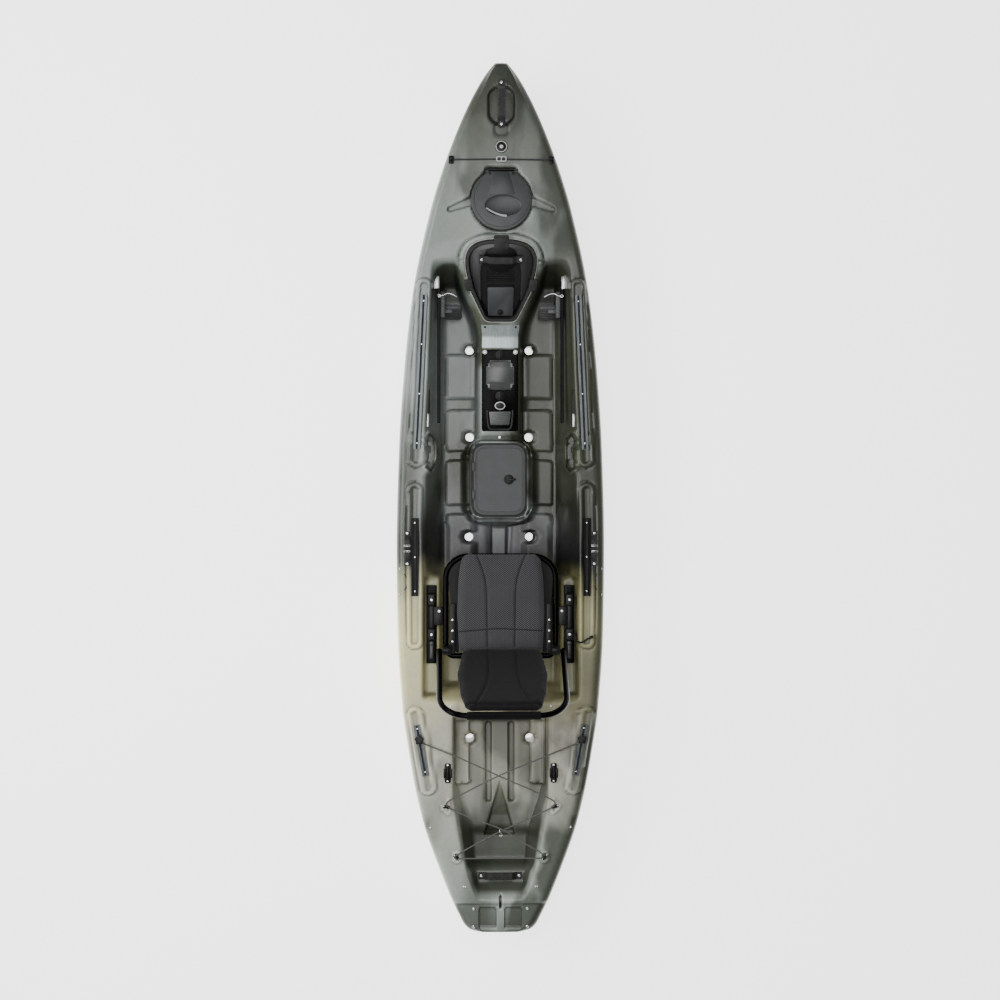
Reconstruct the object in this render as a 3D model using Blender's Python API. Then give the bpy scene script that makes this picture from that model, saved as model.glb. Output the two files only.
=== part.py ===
"""Sit-on-top fishing kayak with a pedal-drive console, hatches, gear tracks and a frame seat.

Frame: +X to the bow, +Y to port (left), +Z up, metres. The origin lies under the middle of the
hull, on the ground that the flat bottom rests on.
"""
import math

import bmesh
import bpy
import numpy as np
from mathutils import Matrix, Vector

# ---------------------------------------------------------------- driving dimensions

GAP = 0.0005                  # clearance between pieces that touch
WALL = 0.006                  # rotomoulded polyethylene wall
BAND = 0.030                  # chamfer band between gunwale and deck panel

# Lines plan: (station x, value), from stern to bow.
HALF_BEAM = [(-1.853, 0.105), (-1.845, 0.132), (-1.82, 0.158), (-1.785, 0.176), (-1.74, 0.198),
             (-1.57, 0.266), (-1.40, 0.325), (-1.23, 0.366), (-1.06, 0.395), (-0.89, 0.419),
             (-0.55, 0.440), (-0.20, 0.444), (0.21, 0.434), (0.55, 0.412), (0.89, 0.373),
             (1.23, 0.300), (1.405, 0.247), (1.575, 0.183), (1.70, 0.126), (1.80, 0.069),
             (1.84, 0.038), (1.853, 0.0255)]
GUNWALE_Z = [(-1.853, 0.240), (-1.50, 0.250), (-0.90, 0.281), (0.0, 0.300), (0.90, 0.325),
             (1.40, 0.347), (1.70, 0.352), (1.853, 0.345)]
PANEL_Z = [(-1.853, 0.262), (-1.50, 0.275), (-0.90, 0.306), (0.0, 0.325), (0.90, 0.350),
           (1.40, 0.372), (1.70, 0.376), (1.80, 0.372), (1.853, 0.348)]
CENTRE_Z = [(-1.853, 0.266), (-1.72, 0.276), (-0.90, 0.308), (1.015, 0.352), (1.095, 0.384),
            (1.45, 0.388), (1.70, 0.386), (1.80, 0.380), (1.853, 0.350)]
KEEL_Z = [(-1.853, 0.105), (-1.80, 0.065), (-1.65, 0.022), (-1.45, 0.004), (-1.25, 0.0),
          (1.15, 0.0), (1.40, 0.006), (1.60, 0.030), (1.74, 0.080), (1.82, 0.160), (1.853, 0.235)]
FINENESS = [(-1.853, 0.35), (-1.2, 0.10), (-0.8, 0.0), (0.6, 0.0), (1.2, 0.45), (1.65, 1.0), (1.853, 1.0)]
FULL_BOTTOM = [(0.0, 0.0), (0.42, 0.0), (0.70, 0.03), (0.87, 0.14), (0.96, 0.42), (1.0, 1.0)]
FINE_BOTTOM = [(0.0, 0.0), (0.20, 0.06), (0.40, 0.20), (0.62, 0.42), (0.82, 0.70), (1.0, 1.0)]

# Wells: cockpit from its front ramp to the bulkhead behind the seat, tank well behind that.
COCKPIT = (-0.860, 1.015)
TANK = (-1.710, -0.915)
WELL_TOP = [(-1.71, 0.105), (-1.615, 0.140), (-1.52, 0.165), (-1.40, 0.188), (-1.275, 0.205),
            (-0.915, 0.205), (-0.86, 0.333), (-0.33, 0.330), (0.25, 0.318), (0.50, 0.308),
            (0.85, 0.302), (1.015, 0.292)]
WELL_BOTTOM = [(-1.71, 0.085), (-1.56, 0.112), (-1.43, 0.118), (-1.30, 0.165), (-1.20, 0.190),
               (-0.945, 0.190), (-0.915, 0.195), (-0.86, 0.245), (-0.33, 0.250), (0.30, 0.250),
               (0.93, 0.246), (1.015, 0.255)]
FLOOR_Z = [(-1.71, 0.277), (-1.645, 0.215), (-1.59, 0.215), (-1.56, 0.148), (-1.44, 0.148),
           (-1.42, 0.165), (-0.945, 0.165), (-0.915, 0.307), (-0.86, 0.308), (-0.80, 0.100),
           (-0.30, 0.090), (0.30, 0.092), (0.86, 0.108), (0.93, 0.128), (1.015, 0.352)]
LEDGE_Z = 0.235               # shelf along both sides of the seat
LEDGE = (-0.840, -0.330)
LEDGE_INNER = 0.262
CONSOLE_SLOPE = 0.40          # the console top falls this much per metre towards the seat
SPINE_SLOPE = 0.12
CONSOLE_TOP_X = 1.095
CONSOLE_TOP_Z = 0.384
SPINE_Z = [(-0.36, 0.090), (-0.115, 0.079), (-0.095, 0.125), (0.262, 0.125), (0.28, 0.1756),
           (0.70, 0.226), (0.745, 0.244), (1.015, 0.352)]
SPINE_TOP = [(-1.56, 0.036), (-0.36, 0.036), (-0.115, 0.036), (-0.095, 0.105), (-0.04, 0.140),
             (0.20, 0.140), (0.262, 0.086), (0.30, 0.082), (0.70, 0.083), (0.76, 0.093),
             (0.83, 0.122), (0.93, 0.166), (1.015, 0.180)]
SPINE_FOOT = 0.020            # how far the spine's foot stands out past its top edge

STATIONS = [-1.853, -1.845, -1.82, -1.785, -1.74, -1.71, -1.645, -1.59, -1.56, -1.50, -1.44, -1.42,
            -1.30, -1.20, -1.06, -0.945, -0.915, -0.86, -0.80, -0.70, -0.55, -0.36, -0.30, -0.20,
            -0.115, -0.095, -0.04, 0.08, 0.20, 0.262, 0.28, 0.40, 0.55, 0.70, 0.745, 0.83, 0.93,
            1.015, 1.095, 1.20, 1.30, 1.405, 1.50, 1.60, 1.70, 1.76, 1.80, 1.84, 1.853]

SCUPPER_R = 0.0187
SCUPPERS = [(0.653, 0.130), (0.274, 0.129), (-0.161, 0.1318), (-1.031, 0.130)]
DRIVE_SLOT = (0.345, 0.600, 0.045)      # through-hull drive well: x from, x to, half width

BOW_HATCH_X = 1.268
BOW_HATCH_R = 0.130
BOW_HATCH_FLOOR = 0.366
BOW_HINGE_X = 1.404
CENTRE_HATCH = (-0.067, 0.2405, 0.114)  # lid: x from, x to, half width
CENTRE_HATCH_FLOOR = 0.125

DRAIN_Z = 0.190               # height of the drain plug on the transom

SEAT_TUBE_R = 0.0125
SEAT_FRONT_X = -0.240
SEAT_REAR_X = -0.665
SEAT_HALF = 0.234             # tube centre line
SEAT_Z = 0.290
BACK_HALF = 0.262
BACK_PIVOT = (-0.635, 0.385)  # x, z of the recline hinge
BACK_TOP = (-0.876, 0.705)
BACK_PAD_MIDDLE = 0.215       # up the back from the hinge


# ---------------------------------------------------------------- small helpers

def along(pairs, x):
    """Smooth value at x of a line given by its stations (monotone cubic, never overshoots)."""
    xs = [p[0] for p in pairs]
    ys = [p[1] for p in pairs]
    if x <= xs[0]:
        return ys[0]
    if x >= xs[-1]:
        return ys[-1]
    i = max(k for k in range(len(xs) - 1) if xs[k] <= x)
    slopes = [(ys[k + 1] - ys[k]) / (xs[k + 1] - xs[k]) for k in range(len(xs) - 1)]

    def tangent(k):
        if k == 0 or k == len(xs) - 1:
            return slopes[min(k, len(slopes) - 1)]
        before, after = slopes[k - 1], slopes[k]
        if before * after <= 0:
            return 0.0
        return 2 * before * after / (before + after)

    span = xs[i + 1] - xs[i]
    t = (x - xs[i]) / span
    left, right = tangent(i) * span, tangent(i + 1) * span
    return (ys[i] * (1 + 2 * t) * (1 - t) ** 2 + left * t * (1 - t) ** 2
            + ys[i + 1] * t * t * (3 - 2 * t) + right * t * t * (t - 1))


def straight(pairs, x):
    """Value at x of a line of straight runs."""
    return float(np.interp(x, [p[0] for p in pairs], [p[1] for p in pairs]))


MATERIALS = {
    "hull_plastic": ((0.30, 0.33, 0.28), 0.45, 0.0),
    "black_plastic": ((0.03, 0.03, 0.032), 0.5, 0.0),
    "grey_plastic": ((0.09, 0.09, 0.095), 0.5, 0.0),
    "rubber": ((0.02, 0.02, 0.02), 0.8, 0.0),
    "aluminium": ((0.55, 0.56, 0.57), 0.35, 1.0),
    "black_anodised": ((0.03, 0.03, 0.03), 0.4, 1.0),
    "steel": ((0.7, 0.7, 0.7), 0.25, 1.0),
    "seat_mesh": ((0.07, 0.07, 0.075), 0.9, 0.0),
    "back_fabric": ((0.03, 0.028, 0.03), 0.9, 0.0),
    "webbing": ((0.015, 0.015, 0.015), 0.9, 0.0),
    "cord": ((0.02, 0.02, 0.02), 0.8, 0.0),
}


def material(name):
    made = bpy.data.materials.get(name)
    if made is None:
        colour, roughness, metallic = MATERIALS[name]
        made = bpy.data.materials.new(name)
        made.use_nodes = True
        shader = made.node_tree.nodes["Principled BSDF"]
        shader.inputs["Base Color"].default_value = (*colour, 1.0)
        shader.inputs["Roughness"].default_value = roughness
        shader.inputs["Metallic"].default_value = metallic
    return made


def place(name, bm, finish, origin=(0, 0, 0), smooth=None):
    """Turn a bmesh in world coordinates into an object whose origin is at the given point."""
    bmesh.ops.recalc_face_normals(bm, faces=bm.faces)
    bmesh.ops.translate(bm, verts=bm.verts, vec=-Vector(origin))
    mesh = bpy.data.meshes.new(name)
    bm.to_mesh(mesh)
    bm.free()
    if smooth is not None:
        mesh.shade_smooth()
        mesh.set_sharp_from_angle(angle=math.radians(smooth))
    mesh.materials.append(material(finish))
    obj = bpy.data.objects.new(name, mesh)
    obj.location = origin
    bpy.context.collection.objects.link(obj)
    return obj


def cutter(name, bm):
    obj = place(name, bm, "hull_plastic")
    obj.hide_render = True
    obj.display_type = "WIRE"
    return obj


def boolean(obj, other, operation="DIFFERENCE"):
    step = obj.modifiers.new(other.name, "BOOLEAN")
    step.operation = operation
    step.object = other


def bevel(obj, width, segments=1):
    step = obj.modifiers.new("edges", "BEVEL")
    step.width = width
    step.segments = segments
    step.limit_method = "ANGLE"
    step.angle_limit = math.radians(40)


def box(x0, x1, y0, y1, z0, z1):
    bm = bmesh.new()
    bmesh.ops.create_cube(bm, size=1.0)
    size = Matrix.Diagonal((x1 - x0, y1 - y0, z1 - z0, 1.0))
    middle = Matrix.Translation(((x0 + x1) / 2, (y0 + y1) / 2, (z0 + z1) / 2))
    bmesh.ops.transform(bm, verts=bm.verts, matrix=middle @ size)
    return bm


def prism(outline, z0, z1):
    """Upright prism over a closed outline of (x, y) points."""
    bm = bmesh.new()
    low = [bm.verts.new((x, y, z0)) for x, y in outline]
    high = [bm.verts.new((x, y, z1)) for x, y in outline]
    bm.faces.new(list(reversed(low)))
    bm.faces.new(high)
    count = len(outline)
    for i in range(count):
        k = (i + 1) % count
        bm.faces.new((low[i], low[k], high[k], high[i]))
    return bm


def ring_prism(outer, inner, z0, z1):
    """Upright ring between two outlines with the same number of points."""
    bm = bmesh.new()
    rows = [[bm.verts.new((x, y, z)) for x, y in line]
            for line, z in ((outer, z0), (outer, z1), (inner, z1), (inner, z0))]
    count = len(outer)
    for a, b in zip(rows, rows[1:] + rows[:1]):
        for i in range(count):
            k = (i + 1) % count
            bm.faces.new((a[i], a[k], b[k], b[i]))
    return bm


def stacked(outlines):
    """Closed skin over a stack of outlines, each a list of (x, y, z) with the same count."""
    bm = bmesh.new()
    rows = [[bm.verts.new(p) for p in line] for line in outlines]
    count = len(rows[0])
    for a, b in zip(rows, rows[1:]):
        for i in range(count):
            k = (i + 1) % count
            bm.faces.new((a[i], a[k], b[k], b[i]))
    bm.faces.new(list(reversed(rows[0])))
    bm.faces.new(rows[-1])
    return bm


def rounded(x0, x1, half, radius, steps=4):
    """Rounded rectangle from x0 to x1, half wide each side of the centre line."""
    points = []
    corners = [(x1 - radius, half - radius, 0), (x0 + radius, half - radius, 90),
               (x0 + radius, -half + radius, 180), (x1 - radius, -half + radius, 270)]
    for cx, cy, start in corners:
        for i in range(steps + 1):
            turn = math.radians(start + 90 * i / steps)
            points.append((cx + radius * math.cos(turn), cy + radius * math.sin(turn)))
    return points


def circle(cx, cy, radius, count=24):
    return [(cx + radius * math.cos(math.tau * i / count), cy + radius * math.sin(math.tau * i / count))
            for i in range(count)]


def cylinder(cx, cy, radius, z0, z1, count=24):
    return prism(circle(cx, cy, radius, count), z0, z1)


def moved(outline, dx, dy):
    return [(x + dx, y + dy) for x, y in outline]


def turn_mesh(bm, matrix):
    bmesh.ops.transform(bm, verts=bm.verts, matrix=matrix)
    return bm


def smooth_route(points, spacing, closed=False):
    """Points at about even spacing along a smooth curve through a few route points."""
    route = [Vector(p) for p in points]
    count = len(route)
    result = []
    for i in range(count if closed else count - 1):
        if closed:
            p = [route[(i + k - 1) % count] for k in range(4)]
        else:
            p = [route[max(0, min(count - 1, i + k - 1))] for k in range(4)]
        steps = max(1, round((p[2] - p[1]).length / spacing))
        for s in range(steps):
            t = s / steps
            result.append(0.5 * (2 * p[1] + (p[2] - p[0]) * t
                                 + (2 * p[0] - 5 * p[1] + 4 * p[2] - p[3]) * t * t
                                 + (3 * p[1] - p[0] - 3 * p[2] + p[3]) * t ** 3))
    if not closed:
        result.append(route[-1])
    return result


def tube(name, points, radius, finish, closed=False, resolution=2, origin=(0, 0, 0)):
    curve = bpy.data.curves.new(name, "CURVE")
    curve.dimensions = "3D"
    curve.bevel_depth = radius
    curve.bevel_resolution = resolution
    curve.use_fill_caps = not closed
    spline = curve.splines.new("POLY")
    spline.points.add(len(points) - 1)
    for target, point in zip(spline.points, points):
        target.co = (*(Vector(point) - Vector(origin)), 1.0)
    spline.use_cyclic_u = closed
    curve.materials.append(material(finish))
    obj = bpy.data.objects.new(name, curve)
    obj.location = origin
    bpy.context.collection.objects.link(obj)
    return obj


# ---------------------------------------------------------------- hull

def in_span(span, x):
    return span[0] < x < span[1]


def open_deck_z(x, y):
    """Height of the closed deck, crowned between the two panel edges."""
    edge = along(HALF_BEAM, x) - band_width(x)
    share = min(1.0, abs(y) / edge)
    panel = along(PANEL_Z, x)
    return panel + (straight(CENTRE_Z, x) - panel) * (1 - share ** 2)


def band_width(x):
    return min(BAND, 0.3 * along(HALF_BEAM, x))


def deck_half_section(x):
    """Deck points of one side at station x, from the gunwale to the centre line."""
    beam = along(HALF_BEAM, x)
    edge = beam - band_width(x)
    top = min(straight(WELL_TOP, x), 0.90 * edge)
    bottom = min(straight(WELL_BOTTOM, x), 0.72 * edge)
    spine = min(straight(SPINE_TOP, x), 0.34 * edge)
    foot = min(straight(SPINE_TOP, x) + SPINE_FOOT, 0.5 * edge)
    cockpit = in_span(COCKPIT, x)
    if cockpit:
        spine = straight(SPINE_TOP, x)
        foot = spine + SPINE_FOOT
    shelf_out = top - 0.25 * (top - bottom)
    shelf_in = top - 0.60 * (top - bottom)
    widths = [beam, edge, top, shelf_out, shelf_in, bottom, foot, spine, 0.0]
    if not (cockpit or in_span(TANK, x)):
        return [(beam, along(GUNWALE_Z, x))] + [(y, open_deck_z(x, y)) for y in widths[1:]]
    floor = straight(FLOOR_Z, x)
    rim = open_deck_z(x, top)
    if in_span(LEDGE, x):
        widths[3], widths[4] = top - 0.008, LEDGE_INNER
        shelf = [LEDGE_Z, LEDGE_Z]
    else:
        shelf = [rim + (floor - rim) * 0.25, rim + (floor - rim) * 0.60]
    middle = max(floor, straight(SPINE_Z, x)) if cockpit else floor
    if cockpit and x < -0.10:
        middle = straight(SPINE_Z, x) if x > -0.36 else floor
    heights = [along(GUNWALE_Z, x), along(PANEL_Z, x), rim, *shelf, floor, floor, middle, middle]
    return list(zip(widths, heights))


def bottom_half_section(x):
    """Hull bottom points of one side at station x, from the keel up, without the gunwale."""
    beam, keel, gunwale = along(HALF_BEAM, x), along(KEEL_Z, x), along(GUNWALE_Z, x)
    fine = along(FINENESS, x)
    points = []
    for full, sharp in zip(FULL_BOTTOM, FINE_BOTTOM):
        share_y = full[0] + (sharp[0] - full[0]) * fine
        share_z = full[1] + (sharp[1] - full[1]) * fine
        points.append((share_y * beam, keel + share_z * (gunwale - keel)))
    return points[:-1]


def hull_ring(x):
    """Closed section: port gunwale, over the deck to starboard, back under the keel."""
    deck = deck_half_section(x)
    bottom = bottom_half_section(x)
    ring = deck + [(-y, z) for y, z in reversed(deck[:-1])]
    ring += [(-y, z) for y, z in reversed(bottom)]
    ring += bottom[1:]
    return [(x, y, z) for y, z in ring]


def hull_skin():
    return stacked([hull_ring(x) for x in STATIONS])


def cavity_skin():
    """The hull's inner face, one wall thickness inside its skin."""
    bm = hull_skin()
    bmesh.ops.recalc_face_normals(bm, faces=bm.faces)
    bm.normal_update()
    inner = [v.co - v.normal * WALL * min(v.calc_shell_factor(), 1.5) for v in bm.verts]
    for vert, point in zip(bm.verts, inner):
        vert.co = point
    return bm


def console_matrix():
    """Frame on the sloping console top: local +X runs forward and up the slope."""
    tilt = Matrix.Rotation(-math.atan(CONSOLE_SLOPE), 4, "Y")
    return Matrix.Translation((CONSOLE_TOP_X, 0, CONSOLE_TOP_Z)) @ tilt


def spine_matrix():
    tilt = Matrix.Rotation(-math.atan(SPINE_SLOPE), 4, "Y")
    return Matrix.Translation((0.70, 0, 0.226)) @ tilt


def pod_outline(grow):
    """Console pod seen along its normal: round nose, widest near it, tapering to the seat."""
    nose, widest, waist, tail = 0.004, -0.100, -0.215, -0.352
    side = [(tail, 0.052), (tail + 0.012, 0.070), (tail + 0.040, 0.083), (waist, 0.128),
            (widest - 0.020, 0.148), (widest + 0.030, 0.150), (-0.032, 0.134), (-0.010, 0.106),
            (nose, 0.055)]
    points = side + [(x, -y) for x, y in reversed(side)]
    middle = Vector((-0.17, 0.0))
    grown = []
    for x, y in points:
        away = Vector((x, y)) - middle
        grown.append(tuple(Vector((x, y)) + away.normalized() * grow))
    return grown


def transom_disc(radius, depth):
    """Short cylinder let into the transom from outside, where the drain plug screws in."""
    bm = cylinder(0, 0, radius, -0.05, depth, 20)
    turn_mesh(bm, Matrix.Rotation(math.pi / 2, 4, "Y"))
    return turn_mesh(bm, Matrix.Translation((STATIONS[0], 0, DRAIN_Z)))


def build_hull():
    hull = place("hull", hull_skin(), "hull_plastic")
    cavity = cutter("hull_cavity", cavity_skin())
    slot_from, slot_to, slot_half = DRIVE_SLOT
    posts = [prism(rounded(slot_from - WALL, slot_to + WALL, slot_half + WALL, 0.012, 2), -0.1, 0.6)]
    bores = [prism(rounded(slot_from, slot_to, slot_half, 0.010, 2), -0.1, 0.6)]
    for x, y in SCUPPERS:
        for side in (1, -1):
            posts.append(cylinder(x, side * y, SCUPPER_R + WALL, -0.1, 0.6, 16))
            bores.append(cylinder(x, side * y, SCUPPER_R, -0.1, 0.6, 16))
    posts.append(turn_mesh(prism(pod_outline(-0.002), -0.062, 0.05), console_matrix()))
    bores.append(turn_mesh(prism(pod_outline(-0.008), -0.056, 0.05), console_matrix()))
    bores.append(turn_mesh(prism(pod_outline(0.003), -0.002, 0.05), console_matrix()))
    posts.append(cylinder(BOW_HATCH_X, 0, BOW_HATCH_R + 0.02, BOW_HATCH_FLOOR - WALL, 0.6))
    bores.append(prism(bow_hatch_outline(0.003), BOW_HATCH_FLOOR, 0.6))
    bores.append(cylinder(BOW_HATCH_X, 0, 0.108, 0.300, 0.6))
    posts.append(transom_disc(0.026, 0.014 + WALL))
    bores.append(transom_disc(0.020, 0.014))
    x0, x1, half = CENTRE_HATCH
    bores.append(prism(rounded(x0 + 0.016, x1 - 0.016, half - 0.016, 0.030), 0.060, 0.6))
    for i, bm in enumerate(posts):
        boolean(cavity, cutter("post_%d" % i, bm))
    boolean(hull, cavity)
    for i, bm in enumerate(bores):
        boolean(hull, cutter("bore_%d" % i, bm))
    return hull


# ---------------------------------------------------------------- bow fittings

def bow_hatch_outline(grow):
    """Round lid with a straight hinge tab on its forward side."""
    radius = BOW_HATCH_R + grow
    tab_half = 0.059 + grow
    tab_x = BOW_HINGE_X - BOW_HATCH_X + grow
    start = math.degrees(math.asin(tab_half * 1.25 / radius))
    points = []
    steps = 20
    for i in range(steps + 1):
        turn = math.radians(start + (360 - 2 * start) * i / steps)
        points.append((BOW_HATCH_X + radius * math.cos(turn), radius * math.sin(turn)))
    points.append((BOW_HATCH_X + tab_x, -tab_half))
    points.append((BOW_HATCH_X + tab_x, tab_half))
    return points


def bow_hatch():
    floor = BOW_HATCH_FLOOR
    outer = circle(BOW_HATCH_X, 0, 0.127)
    place("bow_hatch_rim", ring_prism(outer, circle(BOW_HATCH_X, 0, 0.100), floor + GAP, floor + 0.006),
          "black_plastic", smooth=40)
    neck = place("bow_hatch_neck", ring_prism(circle(BOW_HATCH_X, 0, 0.1055), circle(BOW_HATCH_X, 0, 0.100),
                                              floor - 0.018, floor + 0.004), "black_plastic")
    neck.hide_render = True
    neck.display_type = "WIRE"
    boolean(bpy.data.objects["bow_hatch_rim"], neck, "UNION")
    pivot = (BOW_HINGE_X - 0.006, 0, floor + 0.014)
    lid_outline = [(min(x, BOW_HINGE_X - 0.014), y) for x, y in bow_hatch_outline(0)]
    lid = place("bow_hatch_lid", prism(lid_outline, floor + 0.0065, floor + 0.026), "grey_plastic", pivot, 30)
    bevel(lid, 0.004)
    hinge = turn_mesh(cylinder(0, 0, 0.0065, -0.056, 0.056, 12), Matrix.Rotation(math.pi / 2, 4, "X"))
    turn_mesh(hinge, Matrix.Translation((pivot[0], 0, pivot[2])))
    place("bow_hatch_hinge", hinge, "black_plastic", pivot, 40)


def arch(name, length, width, rise, thick, foot, finish, matrix, origin=(0, 0, 0)):
    """Strap handle: two feet joined by a raised bar, along local X, standing on local Z = 0."""
    half = length / 2
    ramp = rise * 0.9
    inner = half - foot
    profile = [(-half, 0), (-inner, 0), (-inner + ramp, rise - thick), (inner - ramp, rise - thick),
               (inner, 0), (half, 0), (half, thick), (inner, thick), (inner - ramp, rise),
               (-inner + ramp, rise), (-inner, thick), (-half, thick)]
    bm = bmesh.new()
    front = [bm.verts.new((x, -width / 2, z)) for x, z in profile]
    back = [bm.verts.new((x, width / 2, z)) for x, z in profile]
    bm.faces.new(front)
    bm.faces.new(list(reversed(back)))
    count = len(profile)
    for i in range(count):
        k = (i + 1) % count
        bm.faces.new((front[i], back[i], back[k], front[k]))
    obj = place(name, turn_mesh(bm, matrix), finish, origin)
    bevel(obj, 0.0015)
    return obj


def bow_fittings():
    arch("bow_handle", 0.204, 0.030, 0.030, 0.008, 0.026, "rubber",
         Matrix.Translation((1.674, 0, 0.3895)))
    clip_z = open_deck_z(1.438, 0)
    clip = place("bow_cord_clip", box(1.427, 1.449, -0.021, 0.021, clip_z + 0.008, clip_z + 0.016),
                 "grey_plastic")
    bevel(clip, 0.002)
    ends = []
    for side, name in ((1, "left"), (-1, "right")):
        y = side * 0.212
        z = along(PANEL_Z, 1.437)
        hook = place("bow_hook_" + name, box(1.422, 1.452, y - 0.011, y + 0.011, z + 0.003, z + 0.019),
                     "black_plastic")
        bevel(hook, 0.003)
        ends.append((1.437, side * (0.212 - 0.0115), z + 0.011))
    side_z = open_deck_z(1.437, 0.10) + 0.0075
    middle_z = clip_z + 0.0045
    route = [ends[0], (1.437, 0.10, side_z), (1.438, 0, middle_z), (1.437, -0.10, side_z), ends[1]]
    tube("bow_bungee", smooth_route(route, 0.025), 0.003, "cord")


# ---------------------------------------------------------------- gear tracks

def track(name, start, end, z_start, z_end, finish, width=0.028, height=0.010):
    """Straight extrusion with a slot along its top, between two deck points."""
    half, lip, slot = width / 2, 0.0035, 0.0045
    profile = [(-half, 0), (half, 0), (half, height), (slot, height), (slot, height - 0.002),
               (half - lip, height - 0.002), (half - lip, 0.0025), (-half + lip, 0.0025),
               (-half + lip, height - 0.002), (-slot, height - 0.002), (-slot, height), (-half, height)]
    a = Vector((*start, z_start))
    b = Vector((*end, z_end))
    forward = (b - a).normalized()
    across = Vector((0, 0, 1)).cross(forward).normalized()
    up = forward.cross(across)
    bm = bmesh.new()
    rows = [[bm.verts.new(p + across * u + up * v) for u, v in profile] for p in (a, b)]
    count = len(profile)
    for i in range(count):
        k = (i + 1) % count
        bm.faces.new((rows[0][i], rows[0][k], rows[1][k], rows[1][i]))
    bm.faces.new(list(reversed(rows[0])))
    bm.faces.new(rows[1])
    return place(name, bm, finish)


def gear_tracks():
    for side, name in ((1, "left"), (-1, "right")):
        runs = [("front_track_", (0.215, 0.358), (0.870, 0.327), "aluminium"),
                ("mid_track_", (-0.408, 0.366), (-0.077, 0.366), "black_anodised"),
                ("stern_track_", (-1.175, 0.3195), (-0.958, 0.358), "aluminium")]
        for prefix, start, end, finish in runs:
            heights = [open_deck_z(*p) + 0.0015 for p in (start, end)]
            track(prefix + name, (start[0], side * start[1]), (end[0], side * end[1]), *heights, finish)
        anchor_x, anchor_y = -1.020, side * 0.347
        base = open_deck_z(anchor_x, anchor_y) + 0.0015 + 0.010
        anchor = place("stern_anchor_" + name, cylinder(anchor_x, anchor_y, 0.015, base + 0.001, base + 0.009, 16),
                       "black_plastic", smooth=40)
        bevel(anchor, 0.001)
        knob_z = base + 0.0095
        star = []
        for i in range(20):
            reach = 0.021 if i % 4 in (0, 1) else 0.016
            turn = math.tau * i / 20
            star.append((anchor_x + reach * math.cos(turn), anchor_y + reach * math.sin(turn)))
        place("stern_knob_" + name, prism(star, knob_z, knob_z + 0.013), "black_plastic",
              (anchor_x, anchor_y, knob_z), 40)


# ---------------------------------------------------------------- console pod

POD_LOCAL_Z = -0.0015


def console():
    frame = console_matrix()
    z = POD_LOCAL_Z
    gasket = ring_prism(pod_outline(0.002), pod_outline(-0.006), z, z + 0.004)
    place("console_gasket", turn_mesh(gasket, frame), "rubber")
    rim, wall, floor = pod_outline(0.001), pod_outline(-0.010), pod_outline(-0.016)
    inner_top, inner_floor = pod_outline(-0.014), pod_outline(-0.020)
    layers = [[(x, y, -0.050) for x, y in floor], [(x, y, z + 0.0045) for x, y in wall],
              [(x, y, z + 0.0045) for x, y in rim], [(x, y, z + 0.012) for x, y in rim],
              [(x, y, z + 0.012) for x, y in inner_top], [(x, y, -0.045) for x, y in inner_floor]]
    pod = place("console_pod", turn_mesh(stacked(layers), frame), "black_plastic", (0.92, 0, 0.31), 40)
    panel = cutter("pod_panel", turn_mesh(box(-0.334, -0.205, -0.056, 0.056, -0.048, z + 0.004), frame))
    boolean(pod, panel, "UNION")
    bridge = cutter("pod_bridge", turn_mesh(box(-0.052, -0.022, -0.085, 0.085, -0.048, z + 0.004), frame))
    boolean(pod, bridge, "UNION")
    grip = arch("pod_handle", 0.190, 0.032, 0.026, 0.009, 0.032, "rubber",
                frame @ Matrix.Translation((-0.078, 0, z + 0.0125)) @ Matrix.Rotation(math.pi / 2, 4, "Z"))
    grip.name = "pod_handle"
    strap_pivot = frame @ Vector((0.020, 0, z + 0.009))
    strap = turn_mesh(box(-0.034, 0.028, -0.033, 0.033, z + 0.0128, z + 0.0178), frame)
    bevel(place("pod_strap", strap, "rubber", strap_pivot), 0.001)
    for side, name in ((1, "left"), (-1, "right")):
        pivot = frame @ Vector((-0.190, side * 0.152, z + 0.018))
        latch = box(-0.216, -0.164, 0.112, 0.158, z + 0.0128, z + 0.0218)
        if side < 0:
            turn_mesh(latch, Matrix.Scale(-1, 4, (0, 1, 0)))
        bevel(place("pod_latch_" + name, turn_mesh(latch, frame), "rubber", pivot), 0.002)


# ---------------------------------------------------------------- drive cover

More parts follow.
